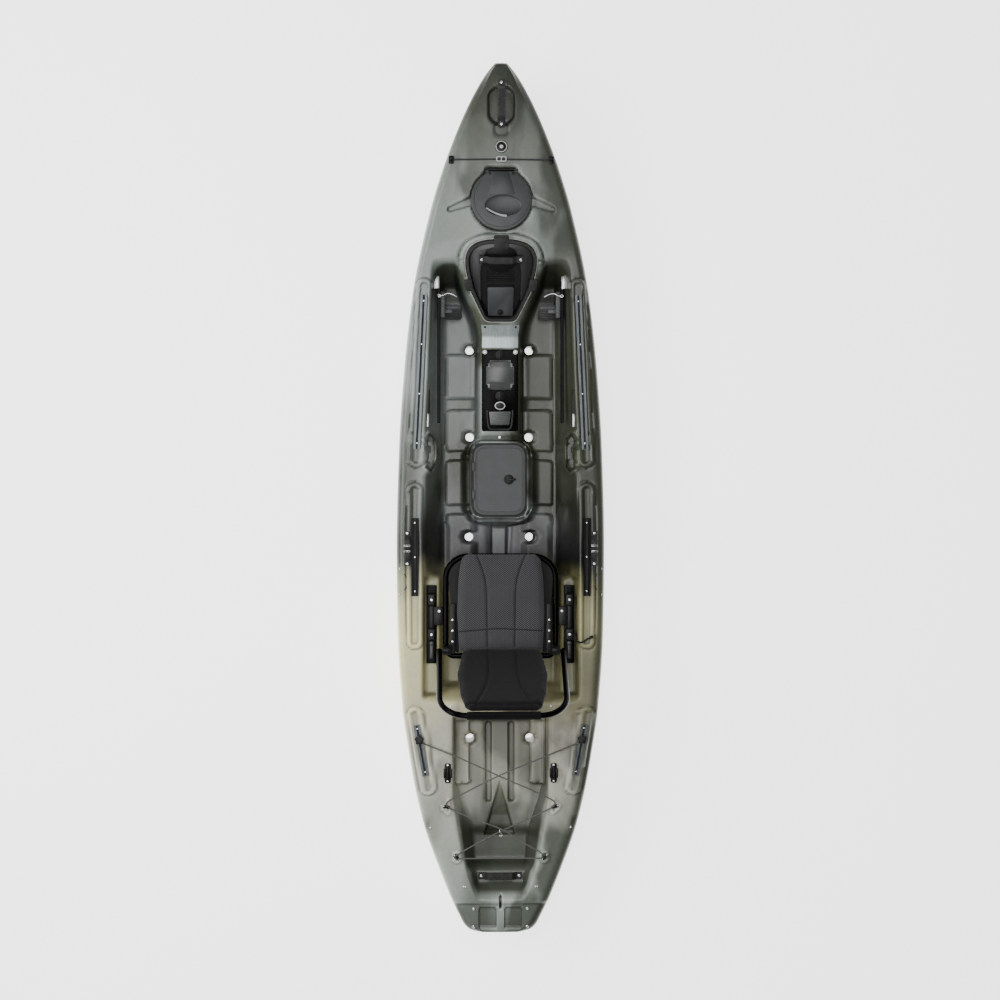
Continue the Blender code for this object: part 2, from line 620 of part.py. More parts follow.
def drive_cover():
    frame = spine_matrix()
    top = 0.0045
    plate = ring_prism(rounded(-0.405, -0.052, 0.0785, 0.010, 3), rounded(-0.228, -0.100, 0.050, 0.012, 3),
                       0.0006, top)
    place("drive_cover", turn_mesh(plate, frame), "black_plastic", (0.48, 0, 0.20))
    insert = []
    for x, z in ((-0.224, -0.030), (-0.110, -0.030), (-0.110, -0.006), (-0.134, -0.001),
                 (-0.164, 0.0), (-0.194, -0.001), (-0.224, -0.006)):
        insert.append((x, z))
    bm = bmesh.new()
    sides = [[bm.verts.new((x, y, z)) for x, z in insert] for y in (-0.0415, 0.0415)]
    bm.faces.new(sides[0])
    bm.faces.new(list(reversed(sides[1])))
    for i in range(len(insert)):
        k = (i + 1) % len(insert)
        bm.faces.new((sides[0][i], sides[1][i], sides[1][k], sides[0][k]))
    place("drive_insert", turn_mesh(bm, frame), "grey_plastic", smooth=40)
    for x, name in ((-0.075, "front"), (-0.252, "rear")):
        pivot = frame @ Vector((x, 0, top))
        knob = cylinder(x, 0, 0.020, top + GAP, top + 0.014, 20)
        wing = place("drive_knob_" + name, turn_mesh(knob, frame), "black_plastic", pivot, 40)
        bevel(wing, 0.002)
    pad = [(-0.3185, 0.048), (-0.3185, -0.048), (-0.378, -0.041), (-0.378, 0.041)]
    bevel(place("drive_pad", turn_mesh(prism(pad, top + GAP, top + 0.009), frame), "grey_plastic"), 0.002)
    outer = [(-0.312, 0.059), (-0.385, 0.055), (-0.402, 0.042), (-0.402, -0.042), (-0.385, -0.055),
             (-0.312, -0.059)]
    inner = [(-0.312, -0.051), (-0.380, -0.0465), (-0.391, -0.037), (-0.391, 0.037), (-0.380, 0.0465),
             (-0.312, 0.051)]
    loop = prism(outer + inner, top + GAP, top + 0.011)
    bevel(place("drive_loop", turn_mesh(loop, frame), "rubber", frame @ Vector((-0.316, 0, top + 0.006))), 0.0015)


# ---------------------------------------------------------------- centre hatch

def centre_hatch():
    x0, x1, half = CENTRE_HATCH
    floor = CENTRE_HATCH_FLOOR
    rim = ring_prism(rounded(x0 - 0.010, x1 + 0.010, half + 0.010, 0.045, 4),
                     rounded(x0 + 0.020, x1 - 0.020, half - 0.020, 0.026, 4), floor + GAP, floor + 0.005)
    place("centre_hatch_rim", rim, "black_plastic")
    neck = cutter("centre_hatch_neck", ring_prism(rounded(x0 + 0.017, x1 - 0.017, half - 0.017, 0.029, 4),
                                                  rounded(x0 + 0.020, x1 - 0.020, half - 0.020, 0.026, 4),
                                                  floor - 0.016, floor + 0.003))
    boolean(bpy.data.objects["centre_hatch_rim"], neck, "UNION")
    pivot = ((x0 + x1) / 2, half + 0.002, floor + 0.012)
    lid = place("centre_hatch_lid", prism(rounded(x0, x1, half, 0.040, 4), floor + 0.0055, floor + 0.015),
                "grey_plastic", pivot, 30)
    bevel(lid, 0.002)
    for i, x in enumerate((0.145, 0.022)):
        knuckle = cutter("hatch_knuckle_%d" % i, box(x - 0.021, x + 0.021, half - 0.010, half + 0.0065,
                                                     floor + 0.0075, floor + 0.0160))
        boolean(lid, knuckle, "UNION")
    latch_x, latch_y = 0.089, -0.040
    face = floor + 0.015
    latch = cylinder(latch_x, latch_y, 0.022, face + GAP, face + 0.006, 20)
    turn = place("centre_hatch_latch", latch, "black_plastic", (latch_x, latch_y, face), 40)
    lever = cutter("latch_lever", box(latch_x - 0.006, latch_x + 0.006, latch_y - 0.030, latch_y + 0.012,
                                      face + 0.002, face + 0.011))
    boolean(turn, lever, "UNION")


# ---------------------------------------------------------------- foot braces

def foot_braces():
    for side, name in ((1, "left"), (-1, "right")):
        def span(x0, x1, y0, y1, z0, z1):
            low, high = sorted((side * y0, side * y1))
            return box(x0, x1, low, high, z0, z1)
        rail = place("brace_rail_" + name, span(0.330, 0.926, 0.2575, 0.2705, 0.247, 0.273), "black_anodised")
        bevel(rail, 0.002)
        slider = span(0.775, 0.895, 0.236, 0.2570, 0.238, 0.282)
        pedal = place("pedal_" + name, slider, "black_plastic", (0.81, side * 0.252, 0.26))
        pad = span(-0.011, 0.011, 0.163, 0.245, -0.058, 0.058)
        turn_mesh(pad, Matrix.Translation((0.808, 0, 0.215)) @ Matrix.Rotation(math.radians(22), 4, "Y"))
        plate = cutter("pedal_pad_" + name, pad)
        boolean(pedal, plate, "UNION")
        bevel(pedal, 0.003)
        pivot = (0.872, side * 0.255, 0.284)
        lever = [(0.872, side * 0.262, 0.287), (0.872, side * 0.250, 0.287), (0.882, side * 0.225, 0.287),
                 (0.875, side * 0.200, 0.286), (0.868, side * 0.186, 0.284)]
        tube("pedal_lever_" + name, smooth_route(lever, 0.012), 0.0035, "steel", origin=pivot)


# ---------------------------------------------------------------- seat

def back_point(along_back, across):
    """Point on the backrest plane: metres up the back from the hinge, metres to port."""
    x0, z0 = BACK_PIVOT
    x1, z1 = BACK_TOP
    length = math.hypot(x1 - x0, z1 - z0)
    return (x0 + (x1 - x0) * along_back / length, across, z0 + (z1 - z0) * along_back / length)


def corner(cx, cy, radius, start, end, steps=5):
    return [(cx + radius * math.cos(math.radians(start + (end - start) * i / steps)),
             cy + radius * math.sin(math.radians(start + (end - start) * i / steps))) for i in range(steps + 1)]


def seat():
    radius = 0.095
    loop = corner(SEAT_FRONT_X - radius, SEAT_HALF - radius, radius, 0, 90)
    loop += corner(SEAT_REAR_X + 0.04, SEAT_HALF - 0.04, 0.04, 90, 180, 3)
    loop += corner(SEAT_REAR_X + 0.04, -SEAT_HALF + 0.04, 0.04, 180, 270, 3)
    loop += corner(SEAT_FRONT_X - radius, -SEAT_HALF + radius, radius, 270, 360)
    tube("seat_frame", [(x, y, SEAT_Z) for x, y in loop], SEAT_TUBE_R, "black_anodised", True)

    cushion = [(-0.230, 0.150), (-0.250, 0.170), (-0.330, 0.182), (-0.480, 0.188), (-0.634, 0.180),
               (-0.648, 0.165)]
    outline = cushion + [(x, -y) for x, y in reversed(cushion)]
    low = SEAT_Z + SEAT_TUBE_R + 0.001
    layers = [[(x, y, low) for x, y in outline], [(x, y, low + 0.028) for x, y in outline]]
    layers.append([(-0.42 + (x + 0.42) * 0.90, y * 0.88, low + 0.042) for x, y in outline])
    place("seat_cushion", stacked(layers), "seat_mesh", smooth=50)

    pivot = (BACK_PIVOT[0], 0, BACK_PIVOT[1])
    length = math.hypot(BACK_TOP[0] - BACK_PIVOT[0], BACK_TOP[1] - BACK_PIVOT[1])
    bend = 0.11
    side = [(0.0, BACK_HALF)] + corner(length - bend, BACK_HALF - bend, bend, 90, 0)
    plan = side + [(s, -y) for s, y in reversed(side)]
    tube("back_frame", [back_point(s, y) for s, y in plan], SEAT_TUBE_R, "black_anodised",
         origin=pivot)

    pad = [(0.020, 0.150), (0.040, 0.168), (0.180, 0.190), (0.300, 0.178), (0.368, 0.160), (0.386, 0.140)]
    shape = pad + [(s, -y) for s, y in reversed(pad)]
    normal = Vector((BACK_TOP[1] - BACK_PIVOT[1], 0, BACK_PIVOT[0] - BACK_TOP[0])).normalized()
    layers = []
    for depth, shrink in ((0.000, 0.94), (0.010, 1.0), (0.030, 1.0), (0.042, 0.90)):
        row = []
        for s, y in shape:
            point = Vector(back_point(BACK_PAD_MIDDLE + (s - BACK_PAD_MIDDLE) * shrink, y * shrink))
            row.append(tuple(point + normal * depth))
        layers.append(row)
    place("backrest", stacked(layers), "back_fabric", pivot, 50)

    for side, name in ((1, "left"), (-1, "right")):
        def span(x0, x1, y0, y1, z0, z1):
            low_y, high_y = sorted((side * y0, side * y1))
            return box(x0, x1, low_y, high_y, z0, z1)
        rail = place("seat_rail_" + name, span(-0.700, -0.365, 0.272, 0.318, LEDGE_Z + GAP, LEDGE_Z + 0.018),
                     "aluminium")
        bevel(rail, 0.002)
        plate = span(-0.655, -0.440, 0.192, 0.219, SEAT_Z + 0.016, SEAT_Z + 0.030)
        panel = place("seat_panel_" + name, plate, "black_plastic")
        cheek = cutter("seat_cheek_" + name, span(BACK_PIVOT[0] - 0.020, BACK_PIVOT[0] + 0.020, 0.212, 0.248,
                                                  SEAT_Z + 0.018, BACK_PIVOT[1] + 0.018))
        boolean(panel, cheek, "UNION")
        bevel(panel, 0.003)
        clamp = place("seat_clamp_" + name, span(-0.600, -0.400, 0.278, 0.312, LEDGE_Z + 0.0185, LEDGE_Z + 0.064),
                      "black_plastic")
        ears = cutter("seat_ear_" + name, span(-0.540, -0.450, 0.2470, 0.285, SEAT_Z - 0.018, SEAT_Z + 0.006))
        boolean(clamp, ears, "UNION")
        bevel(clamp, 0.003)
        lever = span(-0.680, -0.606, 0.284, 0.306, LEDGE_Z + 0.030, LEDGE_Z + 0.044)
        bevel(place("seat_lever_" + name, lever, "black_plastic", (-0.612, side * 0.295, LEDGE_Z + 0.037)), 0.003)
    strap_z = along(PANEL_Z, -0.6) + 0.012
    strap = [(-0.570, -0.3178, 0.285), (-0.600, -0.3190, 0.312), (-0.606, -0.345, strap_z),
             (-0.592, -0.368, strap_z), (-0.584, -0.392, strap_z)]
    tube("seat_strap", smooth_route(strap, 0.012), 0.005, "webbing")


# ---------------------------------------------------------------- stern fittings

def stern_fittings():
    turn = Matrix.Rotation(math.pi / 2, 4, "Z")
    arch("stern_handle", 0.190, 0.030, 0.030, 0.008, 0.026, "rubber",
         Matrix.Translation((-1.617, 0, 0.2155)) @ turn)
    for side, name in ((1, "left"), (-1, "right")):
        z = along(PANEL_Z, -0.130) + 0.0010
        arch("side_handle_" + name, 0.150, 0.026, 0.026, 0.007, 0.022, "rubber",
             Matrix.Translation((-0.206, side * 0.398, z)))
        y = side * 0.226
        z = open_deck_z(-1.165, y)
        cleat = place("cleat_" + name, box(-1.206, -1.122, y - 0.014, y + 0.014, z + 0.003, z + 0.009),
                      "black_plastic")
        horn = cutter("cleat_horn_" + name, box(-1.186, -1.142, y - 0.0185, y + 0.0185, z + 0.004, z + 0.022))
        boolean(cleat, horn, "UNION")
    tank_bungee()
    plug = turn_mesh(cylinder(0, 0, 0.017, 0, 0.012, 20), Matrix.Rotation(math.pi / 2, 4, "Y"))
    seat_x = STATIONS[0] + 0.0015
    place("drain_plug", turn_mesh(plug, Matrix.Translation((seat_x, 0, DRAIN_Z))), "black_plastic",
          (seat_x, 0, DRAIN_Z), 40)


def tank_bungee():
    """One shock cord laced over the tank well, from the left track anchor and back to the right."""
    anchor = (-1.020, 0.347)
    start_z = open_deck_z(*anchor) + 0.0165

    def over(x, y, lift=0.012):
        return (x, y, open_deck_z(x, y) + lift)

    route = [(anchor[0] - 0.013, anchor[1] - 0.011, start_z), over(-1.10, 0.17, 0.018), (-1.178, 0, 0.322),
             over(-1.245, -0.150, 0.018), over(-1.296, -0.232), over(-1.345, -0.150), (-1.415, 0.004, 0.300),
             over(-1.470, 0.110), over(-1.522, 0.196), over(-1.530, 0.186), over(-1.528, 0.0, 0.012),
             over(-1.530, -0.186), over(-1.522, -0.196), over(-1.470, -0.110), (-1.403, -0.004, 0.312),
             over(-1.345, 0.150), over(-1.296, 0.232), over(-1.245, 0.150, 0.018), (-1.168, 0, 0.332),
             over(-1.10, -0.17, 0.018), (anchor[0] - 0.013, -anchor[1] + 0.011, start_z)]
    tube("tank_bungee", smooth_route(route, 0.045), 0.003, "cord")


def build():
    for obj in list(bpy.data.objects):
        bpy.data.objects.remove(obj)
    build_hull()
    bow_hatch()
    bow_fittings()
    gear_tracks()
    console()
    drive_cover()
    centre_hatch()
    foot_braces()
    seat()
    stern_fittings()


build()
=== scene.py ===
"""Looks for a sit-on-top fishing kayak: one moulded camouflage hull with hatches, a console with a
drive cover, gear tracks, foot braces, a framed mesh seat and a laced tank well.

Frame: +X to the bow, +Y to port, +Z up, metres, the ground at z = 0 under the flat bottom.
"""
import math

import bmesh
import bpy
import numpy as np
from mathutils import Matrix, Vector


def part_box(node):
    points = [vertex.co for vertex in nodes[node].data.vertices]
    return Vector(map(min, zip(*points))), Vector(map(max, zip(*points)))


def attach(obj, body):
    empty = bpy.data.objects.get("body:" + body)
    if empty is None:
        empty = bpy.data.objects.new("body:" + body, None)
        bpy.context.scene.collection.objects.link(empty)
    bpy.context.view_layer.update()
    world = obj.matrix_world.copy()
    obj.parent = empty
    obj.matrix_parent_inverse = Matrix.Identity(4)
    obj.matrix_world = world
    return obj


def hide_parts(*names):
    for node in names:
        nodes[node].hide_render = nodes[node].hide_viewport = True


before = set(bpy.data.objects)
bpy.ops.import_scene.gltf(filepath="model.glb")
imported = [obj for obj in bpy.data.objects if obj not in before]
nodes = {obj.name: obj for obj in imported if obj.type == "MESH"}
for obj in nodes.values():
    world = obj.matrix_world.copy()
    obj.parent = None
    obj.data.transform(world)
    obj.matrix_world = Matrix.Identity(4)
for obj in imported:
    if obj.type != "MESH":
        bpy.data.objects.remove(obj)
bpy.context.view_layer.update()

# ---------------------------------------------------------------- hull
# One rotomoulded polyethylene shell, deck and bottom in a single piece, with a cockpit and a tank
# well. It is lofted from its lines plan, then the mouldings are pressed into the deck and the
# scuppers, the drive slot and the hatch openings are cut through it.

BAND = 0.030                  # chamfer between the gunwale and the deck panel
HALF_BEAM = [(-1.853, 0.105), (-1.845, 0.132), (-1.82, 0.158), (-1.785, 0.176), (-1.74, 0.198),
             (-1.57, 0.266), (-1.40, 0.325), (-1.23, 0.366), (-1.06, 0.395), (-0.89, 0.419),
             (-0.55, 0.440), (-0.20, 0.444), (0.21, 0.434), (0.55, 0.412), (0.89, 0.373),
             (1.23, 0.300), (1.405, 0.247), (1.575, 0.183), (1.70, 0.126), (1.80, 0.069),
             (1.84, 0.038), (1.853, 0.0255)]
GUNWALE_Z = [(-1.853, 0.240), (-1.50, 0.250), (-0.90, 0.281), (0.0, 0.300), (0.90, 0.325),
             (1.40, 0.347), (1.70, 0.352), (1.853, 0.345)]
PANEL_Z = [(-1.853, 0.262), (-1.50, 0.275), (-0.90, 0.306), (0.0, 0.325), (0.90, 0.350),
           (1.40, 0.372), (1.70, 0.376), (1.80, 0.372), (1.853, 0.348)]
CENTRE_Z = [(-1.853, 0.266), (-1.72, 0.276), (-0.90, 0.308), (1.015, 0.352), (1.095, 0.384),
            (1.45, 0.388), (1.70, 0.386), (1.80, 0.380), (1.853, 0.350)]
KEEL_Z = [(-1.853, 0.105), (-1.80, 0.065), (-1.65, 0.022), (-1.45, 0.004), (-1.25, 0.0),
          (1.15, 0.0), (1.40, 0.006), (1.60, 0.030), (1.74, 0.080), (1.82, 0.160), (1.853, 0.235)]
FINENESS = [(-1.853, 0.35), (-1.2, 0.10), (-0.8, 0.0), (0.6, 0.0), (1.2, 0.45), (1.65, 1.0), (1.853, 1.0)]
FULL_BOTTOM = [(0.0, 0.0), (0.42, 0.0), (0.70, 0.03), (0.87, 0.14), (0.96, 0.42), (1.0, 1.0)]
FINE_BOTTOM = [(0.0, 0.0), (0.20, 0.06), (0.40, 0.20), (0.62, 0.42), (0.82, 0.70), (1.0, 1.0)]
COCKPIT = (-0.860, 1.015)
TANK = (-1.710, -0.915)
WELL_TOP = [(-1.71, 0.105), (-1.615, 0.140), (-1.52, 0.165), (-1.40, 0.188), (-1.275, 0.205),
            (-0.915, 0.205), (-0.86, 0.333), (-0.33, 0.330), (0.25, 0.318), (0.50, 0.308),
            (0.85, 0.302), (1.015, 0.292)]
WELL_BOTTOM = [(-1.71, 0.085), (-1.56, 0.112), (-1.43, 0.118), (-1.30, 0.165), (-1.20, 0.190),
               (-0.945, 0.190), (-0.915, 0.195), (-0.86, 0.245), (-0.33, 0.250), (0.30, 0.250),
               (0.93, 0.246), (1.015, 0.255)]
FLOOR_Z = [(-1.71, 0.277), (-1.645, 0.215), (-1.59, 0.215), (-1.56, 0.148), (-1.44, 0.148),
           (-1.42, 0.165), (-0.945, 0.165), (-0.915, 0.307), (-0.86, 0.308), (-0.80, 0.100),
           (-0.30, 0.090), (0.30, 0.092), (0.86, 0.108), (0.93, 0.128), (1.015, 0.352)]
SPINE_Z = [(-0.36, 0.090), (-0.115, 0.079), (-0.095, 0.125), (0.262, 0.125), (0.28, 0.1756),
           (0.70, 0.226), (0.745, 0.244), (1.015, 0.352)]
SPINE_TOP = [(-1.56, 0.036), (-0.36, 0.036), (-0.115, 0.036), (-0.095, 0.105), (-0.04, 0.140),
             (0.20, 0.140), (0.262, 0.086), (0.30, 0.082), (0.70, 0.083), (0.76, 0.093),
             (0.83, 0.122), (0.93, 0.166), (1.015, 0.180)]
SPINE_FOOT = 0.020
LEDGE_Z = 0.235               # shelf along both sides of the seat
LEDGE = (-0.840, -0.330)
LEDGE_INNER = 0.262
CONSOLE_TOP = (1.095, 0.384)
CONSOLE_SLOPE = 0.40
SPINE_SLOPE = 0.12
SCUPPER_R = 0.0187
SCUPPERS = [(0.653, 0.130), (0.274, 0.129), (-0.161, 0.1318), (-1.031, 0.130)]
BOW_HATCH_X = 1.268
BOW_HATCH_R = 0.130
BOW_HATCH_FLOOR = 0.366
BOW_HINGE_X = 1.404
CENTRE_HATCH = (-0.067, 0.2405, 0.114)
CENTRE_HATCH_FLOOR = 0.125
COAMING = 0.016               # flat round the centre hatch opening
DRIVE_SLOT = (0.345, 0.600, -0.045, 0.045)

# Rows along the hull, closest where the mouldings are finest: (from x, to x, spacing).
ROW_ZONES = [(-1.853, -1.70, 0.0075), (-1.70, -0.90, 0.0063), (-0.90, -0.80, 0.0058),
             (-0.80, -0.15, 0.0082), (-0.15, 0.30, 0.0052), (0.30, 0.75, 0.0072),
             (0.75, 1.12, 0.0056), (1.12, 1.42, 0.0060), (1.42, 1.853, 0.0080)]
DECK_STEPS = [5, 12, 7, 9, 9, 13, 5, 10]    # columns between the corners of half a deck section
BOTTOM_COLUMNS = [0.0, 0.107, 0.1135, 0.120, 0.1265, 0.133, 0.1395, 0.146, 0.1525]    # past the scuppers
BILGE_SHARES = [0.56, 0.72, 0.84, 0.92, 0.97]
PORT, STARBOARD = 1, -1
HANDS = ((PORT, "left", "port"), (STARBOARD, "right", "starboard"))


def along(pairs, x):
    """Smooth value at x of a line given by its stations (monotone cubic, never overshoots)."""
    xs = [p[0] for p in pairs]
    ys = [p[1] for p in pairs]
    if x <= xs[0]:
        return ys[0]
    if x >= xs[-1]:
        return ys[-1]
    i = max(k for k in range(len(xs) - 1) if xs[k] <= x)
    slopes = [(ys[k + 1] - ys[k]) / (xs[k + 1] - xs[k]) for k in range(len(xs) - 1)]

    def tangent(k):
        if k == 0 or k == len(xs) - 1:
            return slopes[min(k, len(slopes) - 1)]
        before, after = slopes[k - 1], slopes[k]
        if before * after <= 0:
            return 0.0
        return 2 * before * after / (before + after)

    span = xs[i + 1] - xs[i]
    t = (x - xs[i]) / span
    left, right = tangent(i) * span, tangent(i + 1) * span
    return (ys[i] * (1 + 2 * t) * (1 - t) ** 2 + left * t * (1 - t) ** 2
            + ys[i + 1] * t * t * (3 - 2 * t) + right * t * t * (t - 1))


def straight_all(pairs, x):
    """Values at an array of stations, on straight lines between the pairs."""
    return np.interp(x, [p[0] for p in pairs], [p[1] for p in pairs])


def straight(pairs, x):
    return float(straight_all(pairs, x))


def in_span(span, x):
    return span[0] < x < span[1]


def band_width(x):
    return min(BAND, 0.3 * along(HALF_BEAM, x))


def open_deck_z(x, y):
    """Height of the closed deck, crowned between the two panel edges."""
    share = min(1.0, abs(y) / (along(HALF_BEAM, x) - band_width(x)))
    panel = along(PANEL_Z, x)
    return panel + (straight(CENTRE_Z, x) - panel) * (1 - share ** 2)


def side_pocket(x):
    """How far the deck reaches over the footwell wall at the moulded side loops."""
    return 0.046 * np.clip(1.35 - abs(x - 0.202) / 0.075, 0, 1)


def deck_half_section(x):
    """Deck corners of one side at station x, from the gunwale to the centre line."""
    beam = along(HALF_BEAM, x)
    edge = beam - band_width(x)
    top = min(straight(WELL_TOP, x), 0.90 * edge) - side_pocket(x)
    bottom = min(straight(WELL_BOTTOM, x), 0.72 * edge)
    spine = min(straight(SPINE_TOP, x), 0.34 * edge)
    foot = min(straight(SPINE_TOP, x) + SPINE_FOOT, 0.5 * edge)
    cockpit = in_span(COCKPIT, x)
    if cockpit:
        spine = straight(SPINE_TOP, x)
        foot = spine + SPINE_FOOT
    shelf_out = top - 0.25 * (top - bottom)
    shelf_in = top - 0.60 * (top - bottom)
    widths = [beam, edge, top, shelf_out, shelf_in, bottom, foot, spine, 0.0]
    if not (cockpit or in_span(TANK, x)):
        return [(beam, along(GUNWALE_Z, x))] + [(y, open_deck_z(x, y)) for y in widths[1:]]
    floor = straight(FLOOR_Z, x)
    rim = open_deck_z(x, top)
    if in_span(LEDGE, x):
        widths[3], widths[4] = top - 0.008, LEDGE_INNER
        shelf = [LEDGE_Z, LEDGE_Z]
    else:
        shelf = [rim + (floor - rim) * 0.25, rim + (floor - rim) * 0.60]
    middle = max(floor, straight(SPINE_Z, x)) if cockpit else floor
    if cockpit and x < -0.10:
        middle = straight(SPINE_Z, x) if x > -0.36 else floor
    heights = [along(GUNWALE_Z, x), along(PANEL_Z, x), rim, *shelf, floor, floor, middle, middle]
    return list(zip(widths, heights))


def half_deck_points(x):
    """The deck section with evenly spaced columns between its corners."""
    corners = deck_half_section(x)
    points = []
    for (y0, z0), (y1, z1), steps in zip(corners, corners[1:], DECK_STEPS):
        for s in range(steps):
            points.append((y0 + (y1 - y0) * s / steps, z0 + (z1 - z0) * s / steps))
    return points + [corners[-1]]


def half_bottom_points(x):
    """The bottom section from just under the gunwale to the keel."""
    beam, keel, gunwale = along(HALF_BEAM, x), along(KEEL_Z, x), along(GUNWALE_Z, x)
    fine = along(FINENESS, x)
    points = []
    for share in reversed([y / max(beam, 0.36) for y in BOTTOM_COLUMNS] + BILGE_SHARES):
        full, sharp = along(FULL_BOTTOM, share), along(FINE_BOTTOM, share)
        points.append((share * beam, keel + (full + (sharp - full) * fine) * (gunwale - keel)))
    return points


def hull_row(x):
    """Closed ring: port gunwale, over the deck to starboard, back under the keel."""
    deck, bottom = half_deck_points(x), half_bottom_points(x)
    ring = deck + [(-y, z) for y, z in reversed(deck[:-1])]
    ring += [(-y, z) for y, z in bottom] + list(reversed(bottom[:-1]))
    return [(x, y, z) for y, z in ring]


def console_matrix():
    """Frame on the sloping console top: local +X runs forward and up the slope."""
    tilt = Matrix.Rotation(-math.atan(CONSOLE_SLOPE), 4, "Y")
    return Matrix.Translation((CONSOLE_TOP[0], 0, CONSOLE_TOP[1])) @ tilt


def spine_matrix():
    tilt = Matrix.Rotation(-math.atan(SPINE_SLOPE), 4, "Y")
    return Matrix.Translation((0.70, 0, 0.226)) @ tilt


def pod_outline(grow):
    """Console pod seen along its normal: round nose, widest near it, tapering to the seat."""
    nose, widest, waist, tail = 0.004, -0.100, -0.215, -0.352
    side = [(tail, 0.052), (tail + 0.012, 0.070), (tail + 0.040, 0.083), (waist, 0.128),
            (widest - 0.020, 0.148), (widest + 0.030, 0.150), (-0.032, 0.134), (-0.010, 0.106),
            (nose, 0.055)]
    points = side + [(x, -y) for x, y in reversed(side)]
    middle = Vector((-0.17, 0.0))
    grown = []
    for x, y in points:
        away = Vector((x, y)) - middle
        grown.append(tuple(Vector((x, y)) + away.normalized() * grow))
    return grown


def rounded_corners(points, radius, steps=6):
    """An outline with its corners rounded by quadratic curves."""
    result = []
    count = len(points)
    for i in range(count):
        here = Vector(points[i])
        before, after = Vector(points[i - 1]) - here, Vector(points[(i + 1) % count]) - here
        reach = min(radius, before.length * 0.48, after.length * 0.48)
        a, b = here + before.normalized() * reach, here + after.normalized() * reach
        for s in range(steps + 1):
            t = s / steps
            result.append(tuple(a * (1 - t) ** 2 + here * 2 * t * (1 - t) + b * t * t))
    return result


def ellipse(x, y, radius_x, radius_y, step, start=0, stop=360):
    """Points of an ellipse, or of a stretch of one, every few degrees."""
    turns = [math.radians(degrees) for degrees in range(start, stop, step)]
    return [(x + radius_x * math.cos(turn), y + radius_y * math.sin(turn)) for turn in turns]


def raised(outline, z):
    """A flat outline lifted to a height."""
    return [(x, y, z) for x, y in outline]


def both(x, y, z):
    """The same spot on the port and the starboard side."""
    return [(x, side * y, z) for side in (PORT, STARBOARD)]


def reach(outline, x, y):
    """Signed distance of the points from a closed outline, below zero inside it."""
    far = np.full(x.shape, 1e9)
    inside = np.zeros(x.shape, bool)
    for (ax, ay), (bx, by) in zip(outline, outline[1:] + outline[:1]):
        dx, dy = bx - ax, by - ay
        t = np.clip(((x - ax) * dx + (y - ay) * dy) / max(dx * dx + dy * dy, 1e-12), 0, 1)
        far = np.minimum(far, np.hypot(x - ax - t * dx, y - ay - t * dy))
        if ay != by:
            inside ^= ((ay > y) != (by > y)) & (x < (bx - ax) * (y - ay) / (by - ay) + ax)
    return np.where(inside, -far, far)


def box_reach(x, y, x0, x1, y0, y1, radius):
    """Signed distance from an upright rectangle with round corners."""
    across = np.abs(x - (x0 + x1) / 2) - (x1 - x0) / 2 + radius
    up = np.abs(y - (y0 + y1) / 2) - (y1 - y0) / 2 + radius
    return np.hypot(np.maximum(across, 0), np.maximum(up, 0)) + np.minimum(np.maximum(across, up), 0) - radius


def run_reach(x, y, a, b, start_radius, end_radius):
    """Signed distance from a straight run whose half width changes evenly from a to b."""
    dx, dy = b[0] - a[0], b[1] - a[1]
    t = np.clip(((x - a[0]) * dx + (y - a[1]) * dy) / (dx * dx + dy * dy), 0, 1)
    return np.hypot(x - a[0] - t * dx, y - a[1] - t * dy) - start_radius - (end_radius - start_radius) * t


def inside(distance, blend):
    """1 inside an outline and 0 outside it, turning smoothly over the blend width."""
    t = np.clip(0.5 - distance / blend, 0, 1)
    return t * t * (3 - 2 * t)


def climbing(value, start, width):
    """0 up to the start, then an even climb to 1 over the width."""
    return np.clip((value - start) / width, 0, 1)


def falling(value, end, width):
    """An even drop over the width to 0 at the end."""
    return np.clip((end - value) / width, 0, 1)


def bead(distance, width):
    """Bell-shaped ridge, 1 where the distance is zero."""
    return np.exp(-(distance / width) ** 2)


def bow_hatch_reach(x, y, grow):
    """Signed distance from the round bow hatch with its straight hinge tab."""
    side = np.abs(y)
    lengthwise = np.maximum(x - BOW_HINGE_X - grow, 1.30 - x)
    tab = np.maximum(lengthwise, side - 0.0768 - grow + (x - 1.375) * 0.51)
    return np.minimum(np.hypot(x - BOW_HATCH_X, y) - BOW_HATCH_R - grow, tab)


TRACK_CHANNELS = [((0.172, 0.3605), (0.905, 0.3255)), ((-0.600, 0.366), (0.040, 0.366)),
                  ((-1.225, 0.3105), (-0.915, 0.3655))]


